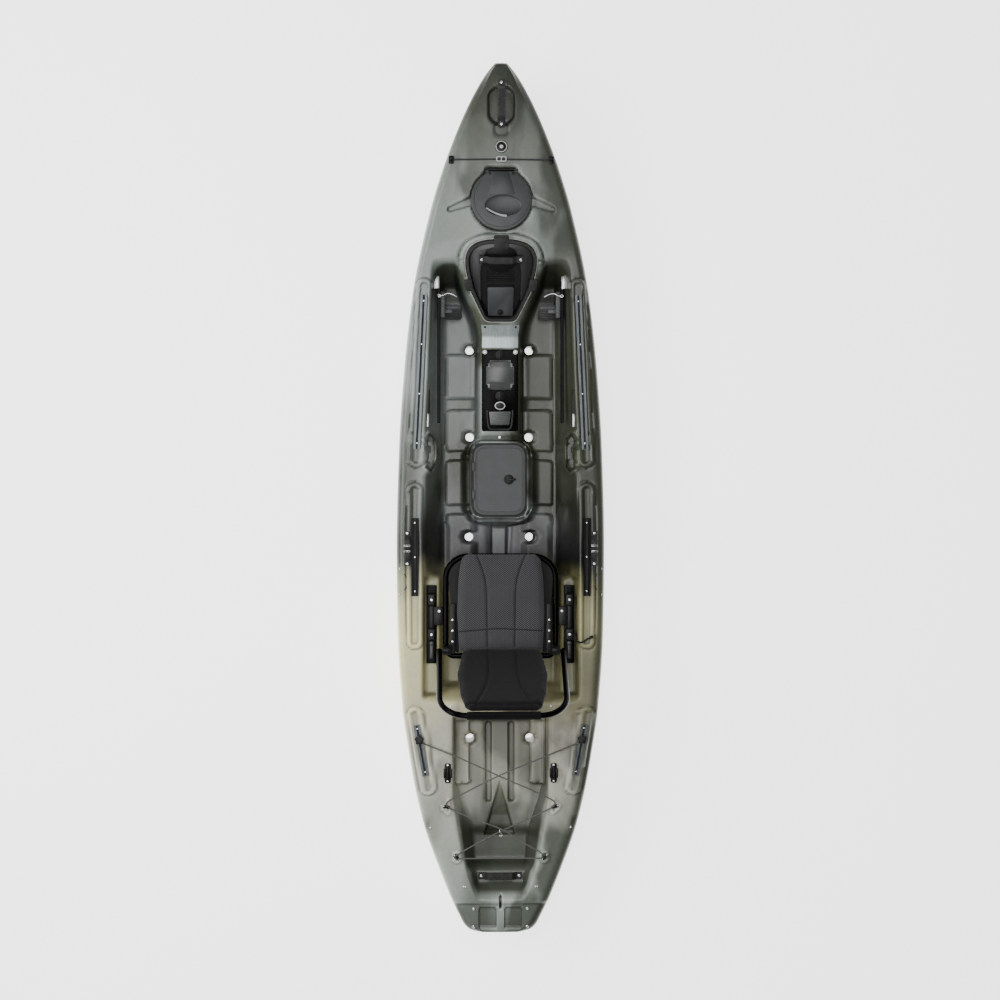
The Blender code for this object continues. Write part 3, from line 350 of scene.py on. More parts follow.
def pressed(x, y, z):
    """Deck height with the mouldings pressed in, at points of the smooth deck."""
    side = np.abs(y)
    z = z.copy()
    # Bow: finger well under the handle, with a short tail, and the two wings beside the hatch.
    z -= 0.022 * inside(box_reach(x, y, 1.584, 1.748, -0.056, 0.056, 0.050), 0.010)
    z -= 0.006 * inside(box_reach(x, y, 1.535, 1.60, -0.032, 0.032, 0.024), 0.008)
    z -= 0.014 * inside(run_reach(x, side, (1.272, 0.10), (1.229, 0.216), 0.024, 0.0125), 0.007)
    # The round hatch seat, flat and a little below the deck.
    seat = inside(bow_hatch_reach(x, y, 0.003), 0.0045)
    z = z * (1 - seat) + BOW_HATCH_FLOOR * seat
    # Console: a raised border round the pod's nose, and the pocket that the pod hangs in.
    slope = math.cos(math.atan(CONSOLE_SLOPE))
    local_x = (x - CONSOLE_TOP[0]) / slope
    pod = reach(rounded_corners(pod_outline(0), 0.02), local_x, y)
    front = climbing(x, 0.985, 0.02)
    z += 0.0075 * front * (inside(pod - 0.025, 0.006) - inside(pod - 0.007, 0.004))
    z -= 0.0065 * front * bead(pod - 0.032, 0.004)
    z -= 0.068 * inside(pod + 0.0065, 0.006)
    # Gear track channels: a low kerb stands round each.
    for a, b in TRACK_CHANNELS:
        run = run_reach(x, side, a, b, 0.0, 0.0)
        z += 0.0075 * (inside(run - 0.033, 0.010) - inside(run - 0.0175, 0.004)) * (z > 0.26)
        z -= 0.0040 * bead(run - 0.037, 0.0035) * (z > 0.26)
    # Side loops: a dished pocket inside a lip.
    loop = reach([(0.296, 0.302), (0.266, 0.276), (0.140, 0.276), (0.110, 0.296), (0.134, 0.322),
                  (0.266, 0.322)], x, side)
    z -= 0.030 * inside(loop + 0.006, 0.006)
    z += 0.0040 * bead(loop - 0.003, 0.0035) * (z > 0.20)
    # Footwell floor: raised pads each side with channels between them.
    for x0, x1 in ((0.444, 0.632), (0.214, 0.390), (-0.020, 0.172), (-0.30, -0.062)):
        skew = x + 0.10 * np.maximum(side - 0.20, 0)
        z += 0.0095 * inside(box_reach(skew, side, x0, x1, 0.108, 0.232, 0.012), 0.006) * (z < 0.16)
    # Two low ribs on the floor between the hatch and the seat.
    ribs = inside(np.abs(side - 0.033) - 0.003, 0.006) * inside(np.abs(x + 0.18) - 0.09, 0.02)
    z -= 0.0060 * ribs * (z < 0.16)
    # Hatch coaming on the low platform, and the drain channel behind it.
    x0, x1, half = CENTRE_HATCH
    hatch = box_reach(x, y, x0, x1, -half, half, 0.040)
    flat = inside(hatch - 0.0015, 0.004)
    z = np.where(z > CENTRE_HATCH_FLOOR - 0.03, z * (1 - flat) + CENTRE_HATCH_FLOOR * flat, z)
    z += 0.0090 * bead(hatch - 0.0105, 0.0036) * (z < 0.16)
    z -= 0.0060 * bead(hatch - 0.018, 0.0034) * (z < 0.16)
    z += 0.0085 * bead(hatch - 0.0255, 0.0040) * (z < 0.16)
    # Tank well: stepped side rails, two long grooves, a wedge that falls to the sump.
    tank = (x < -0.93) & (z < 0.20)
    rail = inside(box_reach(x, side, -1.226, -0.90, 0.133, 0.230, 0.014), 0.005)
    z += tank * (0.022 * rail - 0.011 * rail * inside(np.abs(side - 0.1635) - 0.002, 0.005))
    z -= tank * 0.017 * inside(run_reach(x, side, (-1.292, 0.050), (-0.972, 0.050), 0.0145, 0.0145), 0.007)
    wedge = reach([(-1.215, 0.0), (-1.448, 0.066), (-1.448, -0.066)], x, y)
    z -= tank * 0.030 * inside(wedge, 0.008) * falling(x, -1.205, 0.16)
    # Scupper dishes.
    for sx, sy in SCUPPERS:
        dish = np.hypot(x - sx, side - sy)
        z -= 0.009 * inside(dish - 0.0285, 0.006) * (z < 0.2)
    # Stern: bosses under the pad-eyes, the rear platform with its two panels and a drain notch.
    eye = reach(rounded_corners([(-1.268, 0.216), (-1.312, 0.262), (-1.352, 0.216)], 0.016), x, side)
    z += 0.007 * (inside(eye, 0.005) - inside(eye + 0.009, 0.004)) * (z > 0.22)
    oval = box_reach(x, side, -1.552, -1.500, 0.168, 0.206, 0.019)
    z += 0.007 * (inside(oval, 0.005) - inside(oval + 0.010, 0.004)) * (z > 0.22)
    stern = falling(x, -1.722, 0.006)
    z -= 0.0100 * stern * (z > 0.2)
    z -= 0.0090 * inside(box_reach(x, side, -1.836, -1.744, 0.016, 0.093, 0.010), 0.004)
    z -= 0.022 * inside(run_reach(x, y, (-1.748, 0.0), (-1.70, 0.0), 0.004, 0.006), 0.005)
    return z


def cut(points, faces, columns, distance_of, ends):
    """Opens a hole: grid points at its edge slide onto the outline, faces inside it go."""
    chosen = np.isin(np.arange(len(points)) % columns, ends)

    def distance(p):
        return distance_of(p[:, 0], p[:, 1])

    def onto_outline(which):
        p = points[which]
        step = 1e-4
        gap = distance(p)
        sideways = p.copy()
        sideways[:, 0] += step
        slope_x = (distance(sideways) - gap) / step
        sideways = p.copy()
        sideways[:, 1] += step
        slope_y = (distance(sideways) - gap) / step
        size = np.maximum(slope_x ** 2 + slope_y ** 2, 1e-6)
        points[which, 0] -= gap * slope_x / size
        points[which, 1] -= gap * slope_y / size

    near = np.where(chosen & (np.abs(distance(points)) < 0.0015))[0]
    onto_outline(near)
    gap = distance(points)
    gap[near] = 0
    within = chosen[faces].all(axis=1)
    mixed = within & (gap[faces] < -1e-6).any(axis=1) & (gap[faces] > 1e-6).any(axis=1)
    moved = np.unique(faces[mixed][gap[faces[mixed]] < -1e-6])
    for _ in range(2):
        onto_outline(moved)
    gap[moved] = 0
    gone = within & (gap[faces] <= 1e-6).all(axis=1)
    edge_points = set(np.concatenate([near, moved]).tolist())
    return faces[~gone], edge_points


def soften(heights, times):
    """The same heights blurred over neighbouring rows and columns."""
    for _ in range(times):
        padded = np.pad(heights, 1, mode="edge")
        heights = (padded[1:-1, 1:-1] * 4 + padded[:-2, 1:-1] + padded[2:, 1:-1] + padded[1:-1, :-2]
                   + padded[1:-1, 2:]) / 8
    return heights


def build_hull():
    """Lofts the hull, presses in its mouldings, opens its holes and notes the painted crease shade and ridge
    light.
    """
    rows_x = []
    for start, end, spacing in ROW_ZONES:
        count = round((end - start) / spacing)
        rows_x += [start + (end - start) * i / count for i in range(count)]
    rows_x.append(ROW_ZONES[-1][1])
    grid = np.array([hull_row(x) for x in rows_x])
    rows, columns = grid.shape[:2]
    deck_columns = 2 * sum(DECK_STEPS) + 1
    # Moulded plastic has no sharp edges: the corners relax over about one centimetre.
    for _ in range(3):
        around = (np.roll(grid, 1, axis=1) + np.roll(grid, -1, axis=1)) / 2
        grid += 0.5 * (around - grid)
        grid[1:-1] += 0.4 * ((grid[2:] + grid[:-2]) / 2 - grid[1:-1])
    # The relaxed gunwale goes back out to its full beam.
    half = np.abs(grid[..., 1])
    widened = np.array([along(HALF_BEAM, x) for x in rows_x]) / half.max(axis=1) - 1
    outer = np.clip(half / half.max(axis=1)[:, None] * 5 - 4, 0, 1)
    grid[..., 1] *= 1 + widened[:, None] * outer * outer * (3 - 2 * outer)
    deck = grid[:, :deck_columns]
    deck[..., 2] = pressed(deck[..., 0], deck[..., 1], deck[..., 2])
    # Powder thins over the ridges of the mould and gathers in its hollows.
    # Painted shade and light: darker in the deck's creases and hollows, lighter on its ridges, by depth below
    # the blurred deck.
    crease_shade_ridge_light = np.zeros((rows, columns))
    crease_shade_ridge_light[:, :deck_columns] = (soften(deck[..., 2], 3) - deck[..., 2]) / 0.0032
    crease_shade_ridge_light[:, :deck_columns] += (soften(deck[..., 2], 24) - deck[..., 2]) / 0.045
    crease_shade_ridge_light = np.clip(crease_shade_ridge_light, -1, 1).ravel()
    points = grid.reshape(-1, 3)
    index = np.arange(rows * columns).reshape(rows, columns)
    a, b = index[:-1], index[1:]
    faces = np.stack([a, np.roll(a, -1, axis=1), np.roll(b, -1, axis=1), b], axis=-1).reshape(-1, 4)

    top_columns = np.arange(deck_columns)
    under_columns = np.concatenate([np.arange(deck_columns - 1, columns), [0]])
    holes = []
    for sx, sy in SCUPPERS:
        for hand in (PORT, STARBOARD):
            holes.append((lambda x, y, sx=sx, sy=sy * hand: np.hypot(x - sx, y - sy) - SCUPPER_R, True))
    holes.append((lambda x, y: box_reach(x, y, *DRIVE_SLOT, 0.010), True))
    holes.append((lambda x, y: np.hypot(x - BOW_HATCH_X, y) - 0.107, False))
    x0, x1, half = CENTRE_HATCH
    x0, x1, half = x0 + COAMING, x1 - COAMING, half - COAMING
    holes.append((lambda x, y: box_reach(x, y, x0, x1, -half, half, 0.030), False))
    rims = []
    for distance_of, through in holes:
        faces, top_edge = cut(points, faces, columns, distance_of, top_columns)
        under_edge = set()
        if through:
            faces, under_edge = cut(points, faces, columns, distance_of, under_columns)
        rims.append((top_edge, under_edge))

    bm = bmesh.new()
    layer = bm.verts.layers.float.new("crease_shade_ridge_light")
    verts = [bm.verts.new(p) for p in points]
    for vert, amount in zip(verts, crease_shade_ridge_light.tolist()):
        vert[layer] = amount
    for face in faces:
        bm.faces.new([verts[i] for i in face])
    bm.faces.new(verts[:columns])
    bm.faces.new(list(reversed(verts[-columns:])))
    bm.verts.ensure_lookup_table()
    for top_edge, under_edge in rims:
        loops = [[e for e in {e for i in edge for e in verts[i].link_edges} if e.is_boundary]
                 for edge in (top_edge, under_edge)]
        if under_edge:
            bmesh.ops.bridge_loops(bm, edges=loops[0] + loops[1])
            continue
        # A hatch opening shows the thickness of the wall, turned back under the deck.
        for drop, grow in ((0.006, 1.0), (0.0, 1.06)):
            made = bmesh.ops.extrude_edge_only(bm, edges=loops[0])["geom"]
            rim = [v for v in made if isinstance(v, bmesh.types.BMVert)]
            middle = sum((v.co for v in rim), Vector()) / len(rim)
            for v in rim:
                v.co.x = middle.x + (v.co.x - middle.x) * grow
                v.co.y = middle.y + (v.co.y - middle.y) * grow
                v.co.z -= drop
            loops[0] = [e for e in made if isinstance(e, bmesh.types.BMEdge)]
    bmesh.ops.delete(bm, geom=[v for v in bm.verts if not v.link_faces], context="VERTS")
    bmesh.ops.recalc_face_normals(bm, faces=bm.faces)
    mesh = bpy.data.meshes.new("hull_shell")
    bm.to_mesh(mesh)
    bm.free()
    mesh.shade_smooth()
    mesh.set_sharp_from_angle(angle=math.radians(62))
    hull = bpy.data.objects.new("hull_shell", mesh)
    bpy.context.collection.objects.link(hull)
    return hull


hull_shell = build_hull()


def linear(hex_colour):
    """sRGB hex to the linear colour that Blender wants."""
    channels = [int(hex_colour[i:i + 2], 16) / 255 for i in (1, 3, 5)]
    return (*[c / 12.92 if c <= 0.04045 else ((c + 0.055) / 1.055) ** 2.4 for c in channels], 1.0)


def add(tree, kind, inputs=(), **settings):
    """Adds a node, with its settings, and its inputs set or linked."""
    made = tree.nodes.new("ShaderNode" + kind)
    for name, value in settings.items():
        setattr(made, name, value)
    for key, value in dict(inputs).items():
        if isinstance(value, bpy.types.NodeSocket):
            tree.links.new(value, made.inputs[key])
        else:
            made.inputs[key].default_value = value
    return made


def noise(tree, vector, scale, detail=2.0, **more):
    """Soft noise over a vector; more inputs go by their names."""
    inputs = {"Vector": vector, "Scale": scale, "Detail": detail, **more}
    return add(tree, "TexNoise", inputs).outputs["Fac"]


def remap(tree, value, to_min, to_max, from_min=0.0, from_max=1.0, **settings):
    """A value carried from one range to another and held at the ends."""
    ends = {"From Min": from_min, "From Max": from_max, "To Min": to_min, "To Max": to_max}
    return add(tree, "MapRange", {"Value": value, **ends}, **settings).outputs["Result"]


def scaled_sum(tree, value, factor, offset):
    return add(tree, "Math", {0: value, 1: factor, 2: offset}, operation="MULTIPLY_ADD").outputs[0]


def new_material(name, roughness, metallic=0.0, **sockets):
    """A Principled material on its own; returns it with its tree, shader and Object coordinates."""
    made = bpy.data.materials.new(name)
    made.use_nodes = True
    tree = made.node_tree
    shader = tree.nodes["Principled BSDF"]
    shader.inputs["Roughness"].default_value = roughness
    shader.inputs["Metallic"].default_value = metallic
    for socket, value in sockets.items():
        shader.inputs[socket.replace("_", " ")].default_value = value
    place = add(tree, "TexCoord").outputs["Object"]
    return made, tree, shader, place


def ramp(tree, factor, stops, interpolation="LINEAR"):
    """Colour ramp from (position, hex colour) stops."""
    made = add(tree, "ValToRGB", {"Fac": factor})
    made.color_ramp.interpolation = interpolation
    elements = made.color_ramp.elements
    while len(elements) < len(stops):
        elements.new(0.5)
    for element, (position, colour) in zip(elements, stops):
        element.position = position
        element.color = linear(colour)
    return made.outputs["Color"]


def mixed(tree, factor, a, b, blend="MIX"):
    made = tree.nodes.new("ShaderNodeMix")
    made.data_type = "RGBA"
    made.blend_type = blend
    for socket, value in ((made.inputs["Factor"], factor), (made.inputs[6], a), (made.inputs[7], b)):
        if isinstance(value, bpy.types.NodeSocket):
            tree.links.new(value, socket)
        else:
            socket.default_value = value
    return made.outputs[2]


def shaded(tree, colour, tone):
    """A colour multiplied by a grey tone."""
    grey = add(tree, "CombineColor", {0: tone, 1: tone, 2: tone})
    return mixed(tree, 1.0, colour, grey.outputs["Color"], "MULTIPLY")


def coloured(tree, shader, colour):
    tree.links.new(colour, shader.inputs["Base Color"])


def bumped(tree, shader, height, strength, distance):
    bump = add(tree, "Bump", {"Height": height, "Strength": strength, "Distance": distance})
    tree.links.new(bump.outputs["Normal"], shader.inputs["Normal"])


# Rotomoulded polyethylene: pigment powders tumbled in the mould melt into soft streaks, so the
# colour drifts along the hull from greys with olive, through near black, to tan and pale grey.
# Waxy, half gloss, with a faint orange peel about 2 mm across.
LENGTH = 3.706
PALE = [(1.853, "#24251f"), (1.79, "#5c6059"), (1.45, "#757a73"), (1.25, "#858c86"), (0.90, "#828985"),
        (0.50, "#878e8a"), (0.15, "#858a86"), (-0.05, "#6b6f6e"), (-0.16, "#38393c"), (-0.27, "#363637"),
        (-0.36, "#b9b68e"), (-0.55, "#d6d19e"), (-0.82, "#d0cb9e"), (-0.97, "#bab8a4"), (-1.40, "#b2b6aa"),
        (-1.70, "#9fa6a0"), (-1.853, "#929a96")]
DEEP = [(1.853, "#181914"), (1.79, "#393c35"), (1.45, "#464942"), (1.25, "#4b4e47"), (0.90, "#484b44"),
        (0.50, "#404336"), (0.15, "#32362a"), (-0.05, "#22241b"), (-0.16, "#101010"), (-0.27, "#121212"),
        (-0.36, "#605e3f"), (-0.55, "#98946a"), (-0.82, "#98946e"), (-0.97, "#737264"), (-1.40, "#5c6055"),
        (-1.70, "#5f665d"), (-1.853, "#6c736c")]


def hull_stops(line):
    return [((LENGTH / 2 - x) / LENGTH, colour) for x, colour in line]


def make_hull_plastic():
    made, tree, shader, place = new_material("rotomoulded_polyethylene", 0.34)
    # Streaks run with the hull, so the patterns are stretched along X.
    stretched = add(tree, "Mapping", {"Vector": place, "Scale": (1.0, 2.0, 1.4)}).outputs["Vector"]
    drift = noise(tree, stretched, 2.6)
    parts = add(tree, "SeparateXYZ", {"Vector": place})
    # Share of the length from the bow, wandering a little with the drift of the powder.
    sternward = scaled_sum(tree, parts.outputs["X"], -1 / LENGTH, 0.5)
    station = scaled_sum(tree, scaled_sum(tree, drift, 0.07, -0.035), 1.0, sternward)
    pale = ramp(tree, station, hull_stops(PALE))
    deep = ramp(tree, station, hull_stops(DEEP))
    streak = noise(tree, stretched, 2.7, 3.0, Roughness=0.42, Distortion=0.35)
    # Painted shade: the deep colour is mixed in more to starboard, the side turned from the key light to
    # port.
    streak_and_starboard_shade = scaled_sum(tree, parts.outputs["Y"], -0.55, streak)
    share = remap(tree, streak_and_starboard_shade, 0.0, 1.0, 0.43, 0.60, interpolation_type="SMOOTHSTEP")
    colour = mixed(tree, share, pale, deep)
    # Olive in larger random patches, and a dark olive over the marked parts, painted shade on the starboard
    # gunwale among them.
    patch = noise(tree, stretched, 2.1, Distortion=0.3)
    colour = mixed(tree, remap(tree, patch, 0.0, 0.42, 0.52, 0.68), colour, linear("#4b5040"))
    olive_and_shade_mark = add(tree, "Attribute", attribute_name="olive_and_shade").outputs["Fac"]
    colour = mixed(tree, olive_and_shade_mark, colour, linear("#33372b"))
    fine = noise(tree, place, 60.0, 4.0)
    colour = shaded(tree, colour, remap(tree, fine, 0.94, 1.05, 0.3, 0.7))
    # Painted shade in the deck's creases and hollows, painted highlight on its ridges.
    crease_shade_ridge_light = add(tree, "Attribute", attribute_name="crease_shade_ridge_light").outputs["Fac"]
    coloured(tree, shader, shaded(tree, colour, remap(tree, crease_shade_ridge_light, 1.34, 0.40, -1.0)))
    tree.links.new(remap(tree, fine, 0.27, 0.41), shader.inputs["Roughness"])
    peel = noise(tree, place, 480.0)
    bumped(tree, shader, peel, 0.2, 0.0006)
    return made


def paint_olive_and_shade(hull):
    """Marks the dark olive parts: footwell fronts, stern sump, middle side decks, stern flanks, bow finger
    well, and a painted-shade starboard gunwale band.
    """
    count = len(hull.data.vertices)
    co = np.empty(count * 3)
    hull.data.vertices.foreach_get("co", co)
    x, y, z = co.reshape(-1, 3).T
    side = np.abs(y)
    low = falling(z, 0.335, 0.02)
    high = climbing(z, 0.12, 0.08)
    front = climbing(x, 0.84, 0.07) * falling(x, 1.03, 0.02) * low * climbing(side, 0.10, 0.02)
    sump = falling(x, -1.30, 0.12) * falling(z, 0.262, 0.02) * falling(side, 0.20, 0.02)
    sump *= z > 0.12
    outer = climbing(side, 0.34, 0.04) * np.clip(1 - np.abs(x - 0.10) / 0.42, 0, 1)
    flank = falling(x, -1.34, 0.05) * climbing(x, -1.66, 0.06)
    flank *= np.clip((side + 0.19 + 0.28 * (x + 1.34) - 0.47) / 0.02, 0, 1) * high
    well = np.clip(1 - np.hypot((x - 1.666) / 0.084, y / 0.058) ** 8, 0, 1) * (z > 0.3)
    # Painted shade: the band along the starboard gunwale, turned from the key light, is drawn dark.
    band = 0.80 * np.clip((-y - straight_all(HALF_BEAM, x) + 0.05) / 0.03, 0, 1) * high
    amount = 0.90 * np.maximum(front, sump) + 0.85 * outer + 0.60 * flank + 0.75 * well + band
    mark = hull.data.attributes.new("olive_and_shade", "FLOAT", "POINT")
    mark.data.foreach_set("value", np.clip(amount, 0, 1).astype(np.float32))


paint_olive_and_shade(hull_shell)
hull_plastic = make_hull_plastic()
hull_shell.data.materials.append(hull_plastic)
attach(hull_shell, "hull_body")
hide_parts("hull")


# ---------------------------------------------------------------- bow hatch
# Dark grey moulded lid on a black rim, hinged at its straight forward edge. The lid has a turned-down
# lip, a faint raised panel behind the hinge and a finger dish with a moulded lip.

def primitive(name, operator, **settings):
    """One of Blender's primitives, alone in the selection."""
    bpy.ops.object.select_all(action="DESELECT")
    operator(**settings)
    made = bpy.context.object
    made.name = made.data.name = name
    return made


def round_edges(obj, width, segments=2, angle=35):
    bevel = obj.modifiers.new("edges", "BEVEL")
    bevel.width = width
    bevel.segments = segments
    bevel.limit_method = "ANGLE"
    bevel.angle_limit = math.radians(angle)
    apply_last(obj)
    return obj


def pick(obj):
    """Makes an object the only one selected, and the active one."""
    bpy.ops.object.select_all(action="DESELECT")
    obj.select_set(True)
    bpy.context.view_layer.objects.active = obj


def apply_last(obj):
    pick(obj)
    bpy.ops.object.modifier_apply(modifier=obj.modifiers[-1].name)


def block(name, low, high, edge=0.002, segments=2):
    """Box between two corners with its edges rounded."""
    low, high = Vector(low), Vector(high)
    made = primitive(name, bpy.ops.mesh.primitive_cube_add, size=1, location=(low + high) / 2)
    made.scale = high - low
    bpy.ops.object.transform_apply(location=True, rotation=True, scale=True)
    return round_edges(made, edge, segments)


def disc(name, centre, radius, height, edge=0.001, sides=32):
    """Round button standing on a point."""
    x, y, z = centre
    made = primitive(name, bpy.ops.mesh.primitive_cylinder_add, vertices=sides, radius=radius,
                     depth=height, location=(x, y, z + height / 2))
    bpy.ops.object.transform_apply(location=True, rotation=True, scale=True)
    return round_edges(made, edge)


def rib_row(low, high, pitch, count, edge=0.001):
    """Like ribs in a row along X, from the corners of the first one."""
    made = []
    for i in range(count):
        shift = Vector((i * pitch, 0, 0))
        made.append(block("rib", Vector(low) + shift, Vector(high) + shift, edge, 1))
    return made


def plate(name, outline, z0, z1, edge=0.0015, segments=2):
    """Flat plate over an outline, extruded upwards, with its edges rounded."""
    made = primitive(name, bpy.ops.mesh.primitive_circle_add, vertices=len(outline), fill_type="NGON")
    for vert, (x, y) in zip(made.data.vertices, outline):
        vert.co = (x, y, z0)
    bpy.ops.object.mode_set(mode="EDIT")
    bpy.ops.mesh.select_all(action="SELECT")
    bpy.ops.mesh.extrude_region_move(TRANSFORM_OT_translate={"value": (0, 0, z1 - z0)})
    bpy.ops.mesh.select_all(action="SELECT")
    bpy.ops.mesh.normals_make_consistent(inside=False)
    bpy.ops.object.mode_set(mode="OBJECT")
    return round_edges(made, edge, segments) if edge else made


def tube(name, points, radius, closed=False, sides=6):
    """Round bar along points, as a mesh."""
    curve = bpy.data.curves.new(name, "CURVE")
    curve.dimensions = "3D"
    curve.bevel_depth = radius
    curve.bevel_resolution = sides // 2
    curve.use_fill_caps = not closed
    return swept(name, curve, points, closed)


def strap(name, points, width, thick, closed=False, tilt=90):
    """Flat bar with round edges along points."""
    curve = bpy.data.curves.new(name, "CURVE")
    curve.dimensions = "3D"
    curve.bevel_depth = thick / 2
    curve.bevel_resolution = 3
    curve.extrude = (width - thick) / 2
    curve.use_fill_caps = not closed
    return swept(name, curve, points, closed, math.radians(tilt))


def swept(name, curve, points, closed, tilt=0.0):
    spline = curve.splines.new("POLY")
    spline.points.add(len(points) - 1)
    for target, point in zip(spline.points, points):
        target.co = (*point, 1.0)
        target.tilt = tilt
    spline.use_cyclic_u = closed
    obj = bpy.data.objects.new(name, curve)
    bpy.context.collection.objects.link(obj)
    pick(obj)
    bpy.ops.object.convert(target="MESH")
    made = bpy.context.object
    made.name = made.data.name = name
    return made


def smooth_route(points, spacing, closed=False):
    """Points at about even spacing along a smooth curve through a few route points."""
    route = [Vector(p) for p in points]
    count = len(route)
    result = []
    for i in range(count if closed else count - 1):
        if closed:
            p = [route[(i + k - 1) % count] for k in range(4)]
        else:
            p = [route[max(0, min(count - 1, i + k - 1))] for k in range(4)]
        steps = max(1, round((p[2] - p[1]).length / spacing))
        for s in range(steps):
            t = s / steps
            result.append(0.5 * (2 * p[1] + (p[2] - p[0]) * t
                                 + (2 * p[0] - 5 * p[1] + 4 * p[2] - p[3]) * t * t
                                 + (3 * p[1] - p[0] - 3 * p[2] + p[3]) * t ** 3))
    if not closed:
        result.append(route[-1])
    return result


def carve(obj, tool, operation="DIFFERENCE"):
    """Boolean with a tool that is then removed."""
    step = obj.modifiers.new("carve", "BOOLEAN")
    step.operation = operation
    step.object = tool
    apply_last(obj)
    bpy.data.objects.remove(tool)
    return obj


def join(name, objects):
    bpy.ops.object.select_all(action="DESELECT")
    for obj in objects:
        obj.select_set(True)
    bpy.context.view_layer.objects.active = objects[0]
    bpy.ops.object.join()
    objects[0].name = objects[0].data.name = name
    return objects[0]


def placed(obj, matrix):
    obj.data.transform(matrix)
    return obj


def done(obj, material, body, *replaced, slot=None):
    """Shades a finished piece, gives it its material and puts it on its body."""
    pick(obj)
    bpy.ops.object.shade_smooth_by_angle(angle=math.radians(38))
    obj.data.materials.clear()
    obj.data.materials.append(material)
    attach(obj, body)
    if replaced:
        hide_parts(*replaced)
    return obj


def repaint(node, material):
    """A CAD node whose shape is right keeps its mesh and gets its real finish."""
    slots = nodes[node].material_slots
    for i in range(len(slots)):
        slots[i].material = material


def screw_head(name, centre, radius=0.0048):
    """Button-head screw with a hex socket, standing on a point."""
    made = disc(name, (0, 0, 0), radius, radius * 0.55, radius * 0.3, 16)
    bpy.ops.object.mode_set(mode="EDIT")
    bpy.ops.mesh.select_all(action="DESELECT")
    bpy.ops.object.mode_set(mode="OBJECT")
    top = max(made.data.polygons, key=lambda face: face.center.z * 100 + face.area)
    top.select = True
    bpy.ops.object.mode_set(mode="EDIT")
    bpy.ops.mesh.inset(thickness=radius * 0.22)
    bpy.ops.mesh.extrude_region_move(TRANSFORM_OT_translate={"value": (0, 0, -radius * 0.4)})
    bpy.ops.object.mode_set(mode="OBJECT")
    return placed(made, Matrix.Translation(centre))


def screws(name, places, material, body, radius=0.0048, slot="steel"):
    """A group of like screws on one body."""
    heads = [screw_head(name + "_%d" % i, place, radius) for i, place in enumerate(places)]
    return done(join(name, heads), material, body, slot=slot)


# Moulded nylon and polypropylene: matt black or dark grey, with a fine spark-eroded grain about
# 1.2 mm across, drawn a little coarser than the real one so that it shows.
def moulded_plastic(name, colour, worn, roughness, shine=0.5):
    made, tree, shader, place = new_material(name, roughness, Specular_IOR_Level=shine)
    cloud = noise(tree, place, 14.0, 4.0)
    coloured(tree, shader, ramp(tree, cloud, [(0.35, colour), (0.72, worn)]))
    grain = noise(tree, place, 820.0, 1.5)
    tree.links.new(remap(tree, grain, roughness - 0.08, roughness + 0.08), shader.inputs["Roughness"])
    bumped(tree, shader, grain, 0.3, 0.0004)
    return made


# Stainless steel: cold-headed screws and bent wire, bright with fine drawn scratches.
def bright_metal(name, colour, roughness, scratch_scale, streak):
    made, tree, shader, place = new_material(name, roughness, metallic=1.0)
    drawn = add(tree, "Mapping", {"Vector": place, "Scale": streak}).outputs["Vector"]
    lines = noise(tree, drawn, scratch_scale, 3.0)
    coloured(tree, shader, ramp(tree, lines, [(0.3, colour[0]), (0.7, colour[1])]))
    tree.links.new(remap(tree, lines, roughness - 0.06, roughness + 0.10), shader.inputs["Roughness"])
    bumped(tree, shader, lines, 0.15, 0.0002)
    return made


black_nylon = moulded_plastic("moulded_black_nylon", "#060706", "#0c0d0c", 0.40, 0.25)
lid_plastic = moulded_plastic("moulded_grey_polypropylene", "#28292a", "#313334", 0.44)
panel_plastic = moulded_plastic("moulded_charcoal_abs", "#191818", "#201f1f", 0.34)
stainless = bright_metal("stainless_steel", ("#b4b6b7", "#d6d8d8"), 0.24, 300.0, (1, 1, 1))


def bow_hatch_outline(grow):
    """Round lid with a straight hinge tab on its forward side."""
    radius = BOW_HATCH_R + grow
    tab_half = 0.059 + grow
    start = math.degrees(math.asin(tab_half * 1.25 / radius))
    steps = 72
    points = []
    for i in range(steps + 1):
        turn = math.radians(start + (360 - 2 * start) * i / steps)
        points.append((BOW_HATCH_X + radius * math.cos(turn), radius * math.sin(turn)))
    forward = BOW_HINGE_X - 0.014 + grow
    return points + [(forward, -tab_half), (forward, tab_half)]


def scaled_ball(name, centre, size):
    ball = primitive(name, bpy.ops.mesh.primitive_uv_sphere_add, segments=48, ring_count=24, radius=1,
                     location=centre)
    ball.scale = size
    bpy.ops.object.transform_apply(location=True, rotation=True, scale=True)
    return ball


LID_TOP = BOW_HATCH_FLOOR + 0.026
lid = plate("bow_lid_panel", bow_hatch_outline(-0.0006), BOW_HATCH_FLOOR + 0.0068, LID_TOP, 0.005, 4)
carve(lid, scaled_ball("finger_dish", (1.243, -0.008, LID_TOP + 0.001), (0.046, 0.079, 0.011)))
wedge = plate("lid_wedge", [(1.386, 0.030), (1.386, -0.030), (1.290, -0.058), (1.290, 0.058)],
              LID_TOP - 0.004, LID_TOP + 0.0016, 0.0012)
border_line = raised(ellipse(BOW_HATCH_X, 0, 0.116, 0.116, 15, 45, 316), LID_TOP - 0.0012)
border = tube("lid_border", smooth_route(border_line, 0.012), 0.0022)
done(join("bow_lid_panel", [lid, wedge, border]), lid_plastic, "bow_lid", "bow_hatch_lid",
     slot="grey_plastic")
lip_route = smooth_route([(1.232, 0.064, LID_TOP + 0.0005), (1.214, 0.040, LID_TOP + 0.001),
                          (1.203, 0.010, LID_TOP + 0.001), (1.199, -0.022, LID_TOP + 0.0005)], 0.006)
lip = strap("bow_lid_lip", lip_route, 0.010, 0.003)
